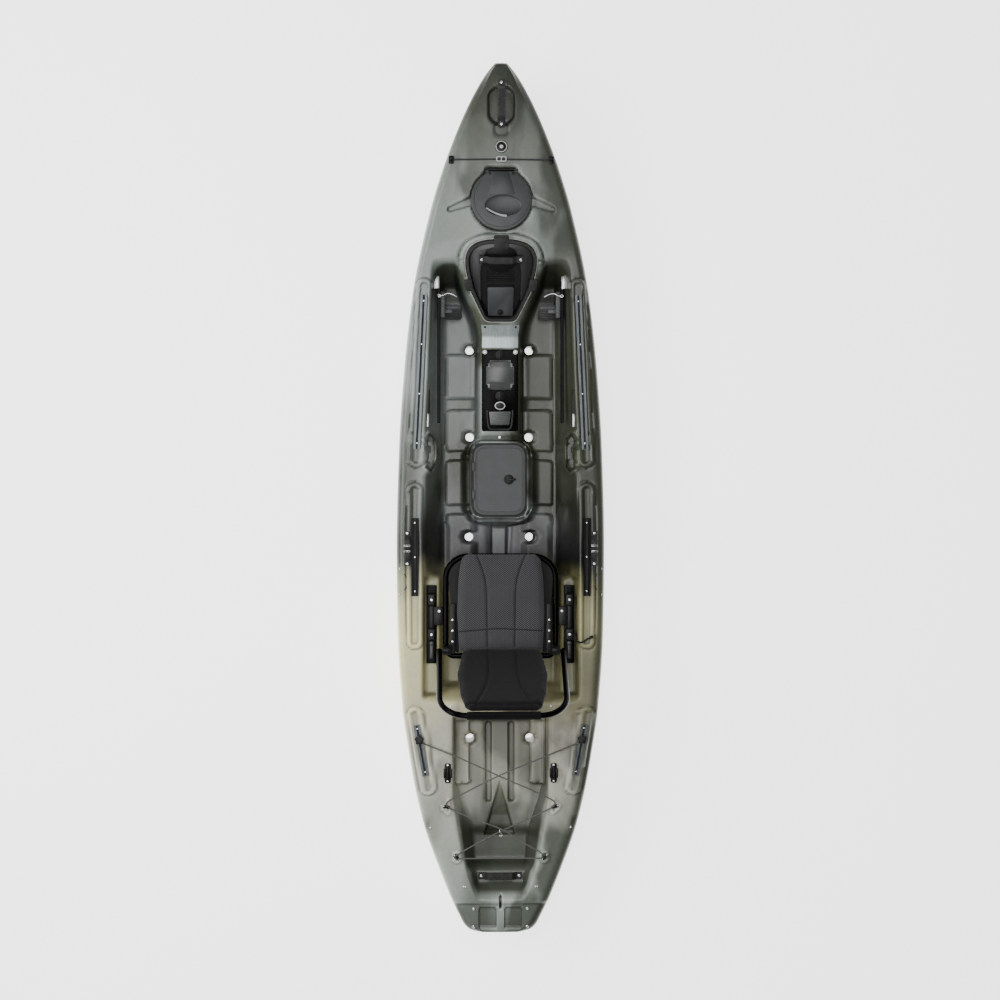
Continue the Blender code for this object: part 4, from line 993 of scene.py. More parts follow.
for vert in lip.data.vertices:
    share = falling(vert.co.y, 0.064, 0.086)
    vert.co.x += (1 - share) * 0.5 * (np.interp(vert.co.y, [-0.022, 0.064], [1.199, 1.232]) - vert.co.x)
# The lip is drawn pale grey: a painted highlight along it.
lip_highlight_plastic = moulded_plastic("grey_polypropylene_painted_highlight", "#8d8f90", "#9c9e9f", 0.30)
done(lip, lip_highlight_plastic, "bow_lid", slot="grey_plastic")
screws("bow_hinge_screws", both(1.378, 0.050, LID_TOP - 0.0006),
       black_nylon, "bow_lid", 0.0058, "black_plastic")
repaint("bow_hatch_hinge", black_nylon)
repaint("bow_hatch_rim", black_nylon)


# ---------------------------------------------------------------- bow fittings
# A black rubber strap handle over the finger well, a plain round badge, and a shock cord that runs
# between two hooks on the deck edge through a pale three-bar buckle, to hold the hatch lid down.

def moulded_rubber(name, colour, roughness=0.68):
    """Moulded rubber: soft black, matt, with a dusty bloom and a fine pebble about 1 mm across."""
    made, tree, shader, place = new_material(name, roughness)
    bloom = noise(tree, place, 35.0, 3.0)
    coloured(tree, shader, ramp(tree, bloom, [(0.3, colour), (0.8, "#2a2b2a")]))
    pebble = add(tree, "TexVoronoi", {"Vector": place, "Scale": 900.0}).outputs["Distance"]
    bumped(tree, shader, pebble, 0.35, 0.0003)
    return made


rubber = moulded_rubber("moulded_rubber", "#121312")


def handle(name, length, width, rise, thick, foot, matrix):
    """Strap handle: two feet joined by a raised bar with a ribbed grip, along local X."""
    half = length / 2 - 0.002
    inner = half - foot
    low = thick / 2
    top = rise - thick / 2
    side = [(half, low), (half - foot * 0.5, low), (inner, low + 0.001), (inner - rise * 0.55, top - 0.002),
            (inner - rise * 0.95, top)]
    route = [(-x, 0, z) for x, z in side] + [(x, 0, z) for x, z in reversed(side)]
    bar = strap(name, smooth_route(route, 0.005), width, thick)
    parts = [bar]
    ribs = 7
    reach_x = inner - rise * 1.1
    for i in range(ribs):
        x = -reach_x + 2 * reach_x * (i + 0.5) / ribs
        parts.append(block("rib", (x - 0.0030, -width * 0.46, top), (x + 0.0030, width * 0.46, rise + 0.0012),
                           0.0009, 1))
    return placed(join(name, parts), matrix)


BOW_HANDLE = (1.674, 0, 0.3895)
bow_handle_at = Matrix.Translation(BOW_HANDLE)
done(handle("bow_handle_strap", 0.204, 0.031, 0.030, 0.007, 0.026, bow_handle_at), rubber, "hull_body",
     "bow_handle", slot="rubber")
screws("bow_handle_screws", [(BOW_HANDLE[0] + end * 0.088, 0, BOW_HANDLE[2] + 0.0068) for end in (-1, 1)],
       stainless, "hull_body", 0.0068)

BADGE = (1.492, 0.0, open_deck_z(1.492, 0) + 0.0004)
badge = disc("bow_badge", BADGE, 0.0268, 0.0016, 0.0006, 48)
done(badge, black_nylon, "hull_body", slot="black_plastic")
badge_face = moulded_plastic("printed_badge_silver", "#b9bab8", "#c9cac8", 0.35)

# The badge is a plain raised ring and a centre boss: it carries no mark.
RING_R = 0.0225
ring = tube("ring", raised(ellipse(0, 0, RING_R, RING_R, 10), 0), RING_R * 0.085, closed=True)
boss = disc("boss", (0, 0, -0.0004), RING_R * 0.34, 0.0012, 0.0004, 24)
ring_at = Matrix.Translation((BADGE[0], 0, BADGE[2] + 0.0016))
done(placed(join("bow_badge_ring", [ring, boss]), ring_at), badge_face, "hull_body")

for side, hand, _ in HANDS:
    hook_y, hook_z = side * 0.212, along(PANEL_Z, 1.437)
    parts = [plate("hook", rounded_corners([(1.420, hook_y - 0.011), (1.454, hook_y - 0.011),
                                            (1.454, hook_y + 0.011), (1.420, hook_y + 0.011)], 0.006),
                   hook_z + 0.0025, hook_z + 0.0070, 0.001)]
    for x in (1.4275, 1.4465):
        parts.append(disc("post", (x, hook_y, hook_z + 0.006), 0.0052, 0.0045, 0.001, 16))
    horn = [(1.437, hook_y + side * 0.008, hook_z + 0.006), (1.437, hook_y + side * 0.009, hook_z + 0.016),
            (1.437, hook_y, hook_z + 0.0185), (1.437, hook_y - side * 0.010, hook_z + 0.0165)]
    parts.append(tube("horn", smooth_route(horn, 0.003), 0.0032))
    done(join("bow_hook_horn_" + hand, parts), black_nylon, "hull_body", "bow_hook_" + hand,
         slot="black_plastic")

clip_z = open_deck_z(1.438, 0) + 0.011
frame_of_clip = rounded_corners([(1.4285, -0.0195), (1.4475, -0.0195), (1.4475, 0.0195), (1.4285, 0.0195)],
                                0.006)
parts = [tube("clip", raised(frame_of_clip, clip_z), 0.0023, closed=True)]
parts.append(tube("bar", [(1.4290, 0, clip_z), (1.4470, 0, clip_z)], 0.0021))
pale_plastic = moulded_plastic("moulded_pale_acetal", "#bdbfbc", "#cfd0cd", 0.35)
done(join("bow_cord_buckle", parts), pale_plastic, "hull_body", "bow_cord_clip", slot="grey_plastic")


def braided_cord(name, colours, pitch):
    """Braided shock cord: a polyester sleeve whose strands cross about every 4 mm."""
    made, tree, shader, place = new_material(name, 0.72)
    turned = add(tree, "Mapping", {"Vector": place, "Rotation": (0.6, 0.4, 0.8)}).outputs["Vector"]
    weave = add(tree, "TexChecker", {"Vector": turned, "Scale": 1 / pitch}).outputs["Fac"]
    coloured(tree, shader, ramp(tree, weave, [(0.0, colours[0]), (1.0, colours[1])]))
    bumped(tree, shader, weave, 0.4, 0.0004)
    return made


shock_cord = braided_cord("braided_shock_cord", ("#1b1c1b", "#2e2f2d"), 0.004)
cord_side_z = open_deck_z(1.437, 0.10) + 0.0075
cord_end_z = along(PANEL_Z, 1.437) + 0.011
cord_route = [(1.437, 0.2005, cord_end_z), (1.437, 0.10, cord_side_z), (1.438, 0, clip_z - 0.0065),
              (1.437, -0.10, cord_side_z), (1.437, -0.2005, cord_end_z)]
done(tube("bow_shock_cord", smooth_route(cord_route, 0.012), 0.003), shock_cord, "hull_body", "bow_bungee",
     slot="cord")


# ---------------------------------------------------------------- gear tracks
# Extruded aluminium rails with a T slot, screwed down inside the deck channels: two long ones beside
# the footwells, black ones beside the seat and two short ones at the tank well with star knobs.

track_alloy = bright_metal("anodised_aluminium", ("#44484a", "#63676a"), 0.34, 240.0, (0.06, 1, 1))
black_alloy = bright_metal("black_anodised_aluminium", ("#101011", "#1a1a1b"), 0.34, 240.0, (0.1, 1, 1))
silver_alloy = bright_metal("bright_aluminium", ("#9fa1a1", "#c3c4c3"), 0.30, 240.0, (0.1, 1, 1))
TRACK_RUNS = [("front", (0.215, 0.358), (0.870, 0.327), track_alloy, (0.04, 0.36, 0.68, 0.96)),
              ("mid", (-0.408, 0.366), (-0.077, 0.366), black_alloy, (0.06, 0.5, 0.94)),
              ("stern", (-1.175, 0.3195), (-0.958, 0.358), track_alloy, (0.07, 0.93))]
slot_screws = []
for name, start, end, finish, shares in TRACK_RUNS:
    for hand in ("left", "right"):
        repaint(name + "_track_" + hand, finish)
    for share in shares:
        x = start[0] + (end[0] - start[0]) * share
        y = start[1] + (end[1] - start[1]) * share
        base = open_deck_z(*start) + (open_deck_z(*end) - open_deck_z(*start)) * share
        slot_screws += both(x, y, base + 0.0042)
screws("track_screws", slot_screws, stainless, "hull_body", 0.0038)
# Dark rubber strips on the floors of the track slots: painted shade deep in the slots.
slot_shade_strips = []
for name, start, end, finish, shares in TRACK_RUNS:
    for side in (PORT, STARBOARD):
        a = Vector((start[0], side * start[1], open_deck_z(*start) + 0.0043))
        b = Vector((end[0], side * end[1], open_deck_z(*end) + 0.0043))
        inset = (b - a).normalized() * 0.002
        slot_shade_strips.append(strap("slot_shade_strip", [a + inset, b - inset], 0.0195, 0.0006))
done(join("track_slot_shade", slot_shade_strips), rubber, "hull_body", slot="rubber")
for _, hand, where in HANDS:
    repaint("stern_anchor_" + hand, black_nylon)
    low, high = (Vector(corner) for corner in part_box("stern_knob_" + hand))
    middle = (low + high) / 2
    lobes = []
    for i in range(60):
        turn = math.tau * i / 60
        size = 0.0178 + 0.0028 * math.cos(5 * turn)
        lobes.append((middle.x + size * math.cos(turn), middle.y + size * math.sin(turn)))
    knob = plate("knob", lobes, low.z, high.z, 0.0025, 3)
    cap = disc("cap", (middle.x, middle.y, high.z - 0.002), 0.0085, 0.0018, 0.0006, 24)
    done(join("stern_star_knob_" + hand, [knob, cap]), black_nylon, "star_" + where, "stern_knob_" + hand,
         slot="black_plastic")


# ---------------------------------------------------------------- console pod
# A black moulded tray that drops into the console: a flange on a rubber gasket, a horseshoe dash
# with a ribbed handle, a deep middle with a flat plate, a strap latch and two side latches.

console_at = console_matrix()
POD_Z = -0.0015


def pod_line(grow, radius=0.022):
    return rounded_corners(pod_outline(grow), radius, 5)


def shell(name, layers):
    """Closed skin over a stack of outlines with the same count."""
    bm = bmesh.new()
    rows = [[bm.verts.new(p) for p in layer] for layer in layers]
    for a, b in zip(rows, rows[1:]):
        for i in range(len(a)):
            k = (i + 1) % len(a)
            bm.faces.new((a[i], a[k], b[k], b[i]))
    bm.faces.new(list(reversed(rows[0])))
    bm.faces.new(rows[-1])
    bmesh.ops.recalc_face_normals(bm, faces=bm.faces)
    mesh = bpy.data.meshes.new(name)
    bm.to_mesh(mesh)
    bm.free()
    obj = bpy.data.objects.new(name, mesh)
    bpy.context.collection.objects.link(obj)
    return obj


flange = POD_Z + 0.012
pod_layers = [(-0.016, -0.050), (-0.010, POD_Z + 0.0045), (0.001, POD_Z + 0.0045), (0.0015, flange - 0.003),
              (-0.001, flange), (-0.012, flange), (-0.0145, flange - 0.0025), (-0.016, flange - 0.010),
              (-0.0205, -0.045)]
pod = shell("console_pod_tray", [raised(pod_line(grow), z) for grow, z in pod_layers])
dash = plate("dash", pod_line(-0.0175), -0.014, -0.004, 0.002)
opening = rounded_corners([(-0.50, 0.080), (-0.50, -0.080), (-0.120, -0.088), (-0.040, -0.062),
                           (-0.028, -0.030), (-0.028, 0.030), (-0.040, 0.062), (-0.120, 0.088)], 0.030)
carve(dash, plate("dash_opening", opening, -0.1, 0.1, 0))
carve(dash, block("dash_end", (-0.5, -0.2, -0.1), (-0.262, 0.2, 0.1), 0.0001, 1))
done(join("console_pod_tray", [placed(pod, console_at), placed(dash, console_at)]), panel_plastic,
     "hull_body", "console_pod", slot="black_plastic")
well_layers = [(-0.0215, -0.0448), (-0.0208, -0.016), (-0.0218, -0.016), (-0.0225, -0.0440)]
well = shell("console_pod_well", [raised(pod_line(grow), z) for grow, z in well_layers])
done(placed(well, console_at), black_nylon, "hull_body", slot="black_plastic")
disc_parts = [disc("plate", (-0.070, 0, -0.044), 0.074, 0.026, 0.003, 64)]
disc_parts += rib_row((-0.150, -0.060, -0.0445), (-0.146, 0.060, -0.040), -0.010, 5)
done(placed(join("console_disc", disc_parts), console_at), black_nylon, "hull_body", slot="black_plastic")
panel_outline = [(-0.332, -0.053), (-0.205, -0.057), (-0.205, 0.057), (-0.332, 0.053)]
panel = plate("console_panel", rounded_corners(panel_outline, 0.008), -0.045, POD_Z - 0.004, 0.002)
carve(panel, disc("knob_recess", (-0.316, 0, POD_Z - 0.008), 0.014, 0.02, 0.0002, 32))
done(placed(panel, console_at), lid_plastic, "hull_body", slot="black_plastic")
knob = [disc("knob", (-0.316, 0, POD_Z - 0.009), 0.0105, 0.009, 0.0015, 24),
        block("wing", (-0.325, -0.0025, POD_Z - 0.002), (-0.307, 0.0025, POD_Z + 0.0035), 0.001)]
done(placed(join("console_panel_knob", knob), console_at), black_nylon, "hull_body", slot="black_plastic")
repaint("console_gasket", rubber)

# A pale ring just outside the gasket: a painted highlight along the hull's edge round the pod.
edge_highlight_ring = raised(pod_line(0.0052), POD_Z + 0.0035)
edge_highlight_plastic = moulded_plastic("hull_edge_painted_highlight", "#a9aca4", "#c2c4bc", 0.30)
done(placed(tube("console_edge_highlight", edge_highlight_ring, 0.0017, closed=True), console_at), edge_highlight_plastic, "hull_body",
     slot="hull_plastic")

ACROSS = Matrix.Rotation(math.pi / 2, 4, "Z")
handle_at = console_at @ Matrix.Translation((-0.078, 0, POD_Z + 0.0125)) @ ACROSS
done(handle("pod_handle_grip", 0.190, 0.031, 0.026, 0.009, 0.032, handle_at), rubber, "hull_body",
     "pod_handle", slot="rubber")
pod_screws = join("pod_handle_screws", [screw_head("screw", place, 0.0070)
                                        for place in both(-0.078, 0.083, POD_Z + 0.0215)])
done(placed(pod_screws, console_at), stainless, "hull_body", slot="steel")

strap_outline = [(-0.034, -0.030), (0.028, -0.033), (0.028, 0.033), (-0.034, 0.030)]
latch = plate("strap_latch", rounded_corners(strap_outline, 0.010), POD_Z + 0.0128, POD_Z + 0.0176, 0.0012)
ridge = rib_row((-0.026, -0.022, POD_Z + 0.017), (-0.022, 0.022, POD_Z + 0.0188), 0.009, 3, 0.0008)
hinge_roll = tube("roll", [(0.0215, -0.031, POD_Z + 0.0150), (0.0215, 0.031, POD_Z + 0.0150)], 0.0048)
done(placed(join("pod_strap_latch", [latch, *ridge, hinge_roll]), console_at), rubber, "strap_latch",
     "pod_strap", slot="rubber")
for side, hand, where in HANDS:
    corners = [(-0.216, side * 0.116), (-0.164, side * 0.124), (-0.166, side * 0.157), (-0.214, side * 0.150)]
    latch = plate("latch", rounded_corners(corners, 0.010), POD_Z + 0.0128, POD_Z + 0.0200, 0.002)
    low, high = sorted((side * 0.122, side * 0.148))
    bars = rib_row((-0.206, low, POD_Z + 0.019), (-0.200, high, POD_Z + 0.0222), 0.012, 4)
    done(placed(join("pod_side_latch_" + hand, [latch, *bars]), console_at), rubber, "pod_latch_" + where,
         "pod_latch_" + hand, slot="rubber")


# ---------------------------------------------------------------- spine plate and drive cover
# A pale thin plate closes the spine under the console. Behind it a black cover shuts the drive slot:
# a frame with a grey bowed insert, two wing knobs, a badge, a foot pad and a pull loop.

bare_plate = bright_metal("brushed_pale_alloy", ("#8d9696", "#a9b2b1"), 0.42, 60.0, (0.5, 2.5, 1))
spine_plate = primitive("spine_plate", bpy.ops.mesh.primitive_grid_add, x_subdivisions=14,
                        y_subdivisions=10, size=2)
for vert in spine_plate.data.vertices:
    x = 0.703 + vert.co.x * 0.0475
    half = 0.0775 + 0.004 * climbing(x, 0.71, 0.03)
    vert.co = (x, vert.co.y * half, straight(SPINE_Z, x) + 0.0022 - 0.003 * vert.co.y ** 6)
thick = spine_plate.modifiers.new("thickness", "SOLIDIFY")
thick.thickness = 0.0022
apply_last(spine_plate)
done(spine_plate, bare_plate, "hull_body", slot="aluminium")
screws("spine_plate_screws", both(0.742, 0.066, straight(SPINE_Z, 0.742) + 0.0030),
       black_nylon, "hull_body", 0.0050, "black_plastic")

spine_at = spine_matrix()
COVER_TOP = 0.0045
INSERT_X = -0.164             # middle of the insert, where it bows up most
COVER_BADGE_X = -0.2945


def notched(grow):
    """Outline of the drive insert: long sides stepped in at the four corners."""
    side = [(-0.2285, 0.044), (-0.216, 0.044), (-0.216, 0.051), (-0.203, 0.051), (-0.203, 0.0575),
            (-0.126, 0.0575), (-0.126, 0.051), (-0.113, 0.051), (-0.113, 0.044), (-0.100, 0.044)]
    grown = []
    for x, y in side:
        grown.append((x + math.copysign(grow, x - INSERT_X), y + grow))
    return rounded_corners(grown + [(x, -y) for x, y in reversed(grown)], 0.003, 3)


def rectangle(x0, x1, half, radius, steps=6):
    return rounded_corners([(x1, half), (x0, half), (x0, -half), (x1, -half)], radius, steps)


cover = plate("drive_cover_plate", rectangle(-0.405, -0.052, 0.0785, 0.010), 0.0006, COVER_TOP + 0.001,
              0.0012)
carve(cover, plate("opening", notched(0.0016), -0.1, 0.1, 0))
lip_line = raised(rectangle(-0.400, -0.057, 0.0745, 0.008), COVER_TOP + 0.0012)
lip = strap("lip", lip_line, 0.0022, 0.0022, True)
gloss_black = moulded_plastic("gloss_black_abs", "#030403", "#070807", 0.26, 0.05)
done(placed(join("drive_cover_plate", [cover, lip]), spine_at), gloss_black, "cover", "drive_cover",
     slot="black_plastic")
insert = plate("drive_insert_panel", notched(0), -0.022, -0.001, 0.0010)
bpy.ops.object.mode_set(mode="EDIT")
for offset in (0.0, -0.040, -0.020, 0.020, 0.040):
    bpy.ops.mesh.select_all(action="SELECT")
    bpy.ops.mesh.bisect(plane_co=(INSERT_X + offset, 0, 0), plane_no=(1, 0, 0))
bpy.ops.object.mode_set(mode="OBJECT")
for vert in insert.data.vertices:
    if vert.co.z > -0.010:
        vert.co.z += 0.004 - 0.009 * ((vert.co.x - INSERT_X) / 0.064) ** 2
insert_plastic = moulded_plastic("satin_grey_nylon", "#393b3a", "#484a49", 0.30)
done(placed(insert, spine_at), insert_plastic, "cover", "drive_insert", slot="grey_plastic")

for x, name in ((-0.075, "front"), (-0.252, "rear")):
    base = disc("base", (x, 0, COVER_TOP + 0.0006), 0.0200, 0.0065, 0.0015, 40)
    dome = disc("dome", (x, 0, COVER_TOP + 0.006), 0.0135, 0.0050, 0.0020, 32)
    wing = block("wing", (x - 0.0180, -0.0032, COVER_TOP + 0.0065),
                 (x + 0.0180, 0.0032, COVER_TOP + 0.0138), 0.0016)
    done(placed(join("drive_wing_knob_" + name, [base, dome, wing]), spine_at), black_nylon, "knob_" + name,
         "drive_knob_" + name, slot="black_plastic")
washers = [disc("washer", place, 0.0098, 0.0014, 0.0004, 32)
           for place in both(-0.0635, 0.0660, COVER_TOP + 0.0009)]
done(placed(join("drive_cover_washers", washers), spine_at), pale_plastic, "cover", slot="grey_plastic")
cover_screws = join("drive_cover_screws", [screw_head("screw", place, 0.0056)
                                           for place in both(-0.0635, 0.0660, COVER_TOP + 0.0022)])
done(placed(cover_screws, spine_at), stainless, "cover", slot="steel")
oval = ellipse(COVER_BADGE_X, 0, 0.0175, 0.0225, 9)
done(placed(plate("cover_badge", oval, COVER_TOP + 0.0008, COVER_TOP + 0.0022, 0.0005), spine_at), badge_face,
     "cover")
inner = ellipse(COVER_BADGE_X, 0, 0.0135, 0.0182, 9)
done(placed(plate("cover_badge_face", inner, COVER_TOP + 0.0020, COVER_TOP + 0.0027, 0.0003), spine_at),
     black_nylon, "cover", slot="black_plastic")
pad_outline = [(-0.3190, 0.0480), (-0.3190, -0.0480), (-0.3775, -0.0410), (-0.3775, 0.0410)]
pad = plate("pad", rounded_corners(pad_outline, 0.006), COVER_TOP + 0.0008, COVER_TOP + 0.0080, 0.002, 3)
ribs = rib_row((-0.3700, -0.036, COVER_TOP + 0.0072), (-0.3670, 0.036, COVER_TOP + 0.0088), 0.0095, 5, 0.0007)
done(placed(join("drive_foot_pad", [pad, *ribs]), spine_at), insert_plastic, "cover", "drive_pad",
     slot="grey_plastic")
half_loop = [(-0.313, 0.0552, COVER_TOP + 0.0052), (-0.350, 0.0535, COVER_TOP + 0.0056),
             (-0.383, 0.0490, COVER_TOP + 0.0058), (-0.396, 0.0380, COVER_TOP + 0.0058)]
loop_route = half_loop + [(-0.3965, 0, COVER_TOP + 0.0058)] + [(x, -y, z) for x, y, z in reversed(half_loop)]
loop_route = smooth_route(loop_route, 0.004)
done(placed(tube("drive_pull_loop", loop_route, 0.0044), spine_at), rubber, "cover_loop", "drive_loop",
     slot="rubber")
screws("spine_end_screw", [(0.272, 0, straight(SPINE_Z, 0.279) - 0.004)], stainless, "hull_body", 0.0066)


# ---------------------------------------------------------------- centre hatch
# Rectangular grey lid with round corners on a black rim, hinged to port, held shut by a quarter-turn
# latch. The lid face is stepped in from its border.

x0, x1, half = CENTRE_HATCH
face = CENTRE_HATCH_FLOOR + 0.015
lid = plate("centre_hatch_panel", rectangle(x0, x1, half, 0.058, 10), CENTRE_HATCH_FLOOR + 0.0058, face,
            0.0022, 3)
top = max(lid.data.polygons, key=lambda polygon: polygon.center.z * 100 + polygon.area)
for polygon in lid.data.polygons:
    polygon.select = polygon.index == top.index
bpy.ops.object.mode_set(mode="EDIT")
bpy.ops.mesh.select_mode(type="FACE")
bpy.ops.mesh.inset(thickness=0.0075)
bpy.ops.mesh.inset(thickness=0.0014, depth=-0.0016)
bpy.ops.mesh.inset(thickness=0.0040)
bpy.ops.mesh.inset(thickness=0.0014, depth=0.0014)
bpy.ops.object.mode_set(mode="OBJECT")
LATCH = (0.089, -0.040)
parts = [lid]
for x in (0.145, 0.022):
    parts.append(block("knuckle", (x - 0.020, half - 0.009, face - 0.006),
                       (x + 0.020, half + 0.0062, face + 0.0010), 0.002))
    parts.append(tube("pin", [(x - 0.0205, half + 0.002, face - 0.003),
                              (x + 0.0205, half + 0.002, face - 0.003)], 0.0036))
done(join("centre_hatch_panel", parts), lid_plastic, "hatch_lid", "centre_hatch_lid", slot="grey_plastic")
latch_x, latch_y = LATCH
lever = [(latch_x - 0.0055, latch_y + 0.012), (latch_x - 0.0040, latch_y - 0.030),
         (latch_x + 0.0040, latch_y - 0.030), (latch_x + 0.0055, latch_y + 0.012)]
turn = [disc("boss", (*LATCH, face + 0.0006), 0.0215, 0.0042, 0.0012, 48),
        tube("ring", raised(ellipse(*LATCH, 0.0150, 0.0150, 12), face + 0.0050), 0.0013, closed=True),
        plate("lever", rounded_corners(lever, 0.004), face + 0.0035, face + 0.0106, 0.0012)]
done(join("centre_hatch_turn", turn), black_nylon, "hatch_latch", "centre_hatch_latch", slot="black_plastic")
repaint("centre_hatch_rim", rubber)


# ---------------------------------------------------------------- foot braces
# Black rails along the footwell walls carry sliding foot pads. Each pad is a ribbed nylon plate on a
# carriage, freed by a bent steel trigger beside it.

pad_plastic = moulded_plastic("moulded_grey_nylon", "#3d3e3f", "#4c4d4e", 0.48)
for side, hand, where in HANDS:
    repaint("brace_rail_" + hand, black_alloy)
    tilt = Matrix.Translation((0.808, 0, 0.215)) @ Matrix.Rotation(math.radians(22), 4, "Y")
    inner_y, outer_y = sorted((side * 0.164, side * 0.244))
    outline = [(-0.056, inner_y), (0.056, inner_y), (0.056, outer_y), (-0.056, outer_y)]
    pad = plate("pad", rounded_corners(outline, 0.020), -0.0095, 0.0095, 0.004, 3)
    ribs = rib_row((-0.046, inner_y + 0.010, 0.007), (-0.041, outer_y - 0.010, 0.0112), 0.0155, 7)
    upright = Matrix.Rotation(-math.pi / 2, 4, "Y")
    placed(join("pad", [pad, *ribs]), tilt @ upright)
    low, high = sorted((side * 0.2365, side * 0.2568))
    carriage = block("carriage", (0.778, low, 0.2395), (0.892, high, 0.2812), 0.006, 3)
    grip = rib_row((0.786, low, 0.280), (0.791, high, 0.2832), 0.013, 7)
    low, high = sorted((side * 0.205, side * 0.240))
    web = block("web", (0.800, low, 0.222), (0.822, high, 0.262), 0.003)
    done(join("foot_pad_" + hand, [pad, carriage, web, *grip]), pad_plastic, "pedal_" + where,
         "pedal_" + hand, slot="black_plastic")
    route = [(0.872, side * 0.262, 0.287), (0.872, side * 0.250, 0.287), (0.882, side * 0.225, 0.287),
             (0.875, side * 0.200, 0.286), (0.868, side * 0.186, 0.284)]
    trigger = [tube("trigger", smooth_route(route, 0.004), 0.0035),
               tube("eye", raised(ellipse(0.872, side * 0.262, 0.0055, 0.0055, 20), 0.288), 0.0030,
                    closed=True)]
    done(join("brace_trigger_" + hand, trigger), stainless, "trigger_" + where, "pedal_lever_" + hand,
         slot="steel")
    low, high = sorted((side * 0.2600, side * 0.2850))
    done(block("brace_end_cap_" + hand, (0.902, low, 0.262), (0.958, high, 0.286), 0.004), silver_alloy,
         "hull_body", slot="aluminium")
    low, high = sorted((side * 0.3045, side * 0.3175))
    bar = block("brace_cable_bar_" + hand, (0.310, low, 0.3150), (0.368, high, 0.3240), 0.003)
    done(bar, silver_alloy, "hull_body", slot="aluminium")
    mount = block("brace_cable_mount_" + hand, (0.366, low - 0.002, 0.3100), (0.470, high + 0.002, 0.3235),
                  0.003)
    done(mount, black_nylon, "hull_body", slot="black_plastic")


# ---------------------------------------------------------------- seat frame
# A loop of black anodised tube on clamps that slide along the seat rails, with riveted side panels
# that hinge a second, taller loop for the back.

SEAT_TUBE_R = 0.0125
SEAT_FRONT_X, SEAT_REAR_X, SEAT_HALF, SEAT_Z = -0.240, -0.665, 0.234, 0.290
BACK_HALF = 0.262
BACK_PIVOT = (-0.635, 0.385)
BACK_TOP = (-0.876, 0.705)
BACK_LENGTH = math.hypot(BACK_TOP[0] - BACK_PIVOT[0], BACK_TOP[1] - BACK_PIVOT[1])
SLIDE_Y = 0.295               # middle of the slide rails, from the centre line
# Swaps Y and Z: an outline drawn in (x, z) stands upright, its thickness across the seat.
STAND_UP = Matrix(((1, 0, 0, 0), (0, 0, 1, 0), (0, 1, 0, 0), (0, 0, 0, 1)))


def back_point(along_back, across, proud=0.0):
    """Point on the backrest plane, metres up the back, to port and proud towards the sitter."""
    up = Vector((BACK_TOP[0] - BACK_PIVOT[0], 0, BACK_TOP[1] - BACK_PIVOT[1])) / BACK_LENGTH
    ahead = Vector((up.z, 0, -up.x))
    return Vector((BACK_PIVOT[0], across, BACK_PIVOT[1])) + up * along_back + ahead * proud


def corner(cx, cy, radius, start, end, steps=10):
    return [(cx + radius * math.cos(math.radians(start + (end - start) * i / steps)),
             cy + radius * math.sin(math.radians(start + (end - start) * i / steps)))
            for i in range(steps + 1)]


front_radius = 0.095
loop = corner(SEAT_FRONT_X - front_radius, SEAT_HALF - front_radius, front_radius, 0, 90)
loop += corner(SEAT_REAR_X + 0.04, SEAT_HALF - 0.04, 0.04, 90, 180)
loop += corner(SEAT_REAR_X + 0.04, -SEAT_HALF + 0.04, 0.04, 180, 270)
loop += corner(SEAT_FRONT_X - front_radius, -SEAT_HALF + front_radius, front_radius, 270, 360)
tube_alloy = bright_metal("black_coated_tube", ("#0b0b0c", "#131314"), 0.22, 200.0, (1, 1, 1))
done(tube("seat_frame_tube", raised(loop, SEAT_Z), SEAT_TUBE_R, closed=True, sides=12), tube_alloy,
     "seat", "seat_frame", slot="black_anodised")
bend = 0.11
half_plan = [(0.0, BACK_HALF)] + corner(BACK_LENGTH - bend, BACK_HALF - bend, bend, 90, 0)
plan = half_plan + [(s, -y) for s, y in reversed(half_plan)]
done(tube("back_frame_tube", [back_point(s, y) for s, y in plan], SEAT_TUBE_R, sides=12), tube_alloy,
     "seat_back", "back_frame", slot="black_anodised")
sleeve = strap("back_top_sleeve", [back_point(BACK_LENGTH, y) for y in (-0.150, -0.05, 0.05, 0.150)], 0.034,
               0.031)
coated = moulded_plastic("woven_sleeve_black", "#070708", "#0d0d0e", 0.8, 0.12)
done(sleeve, coated, "seat_back", slot="back_fabric")

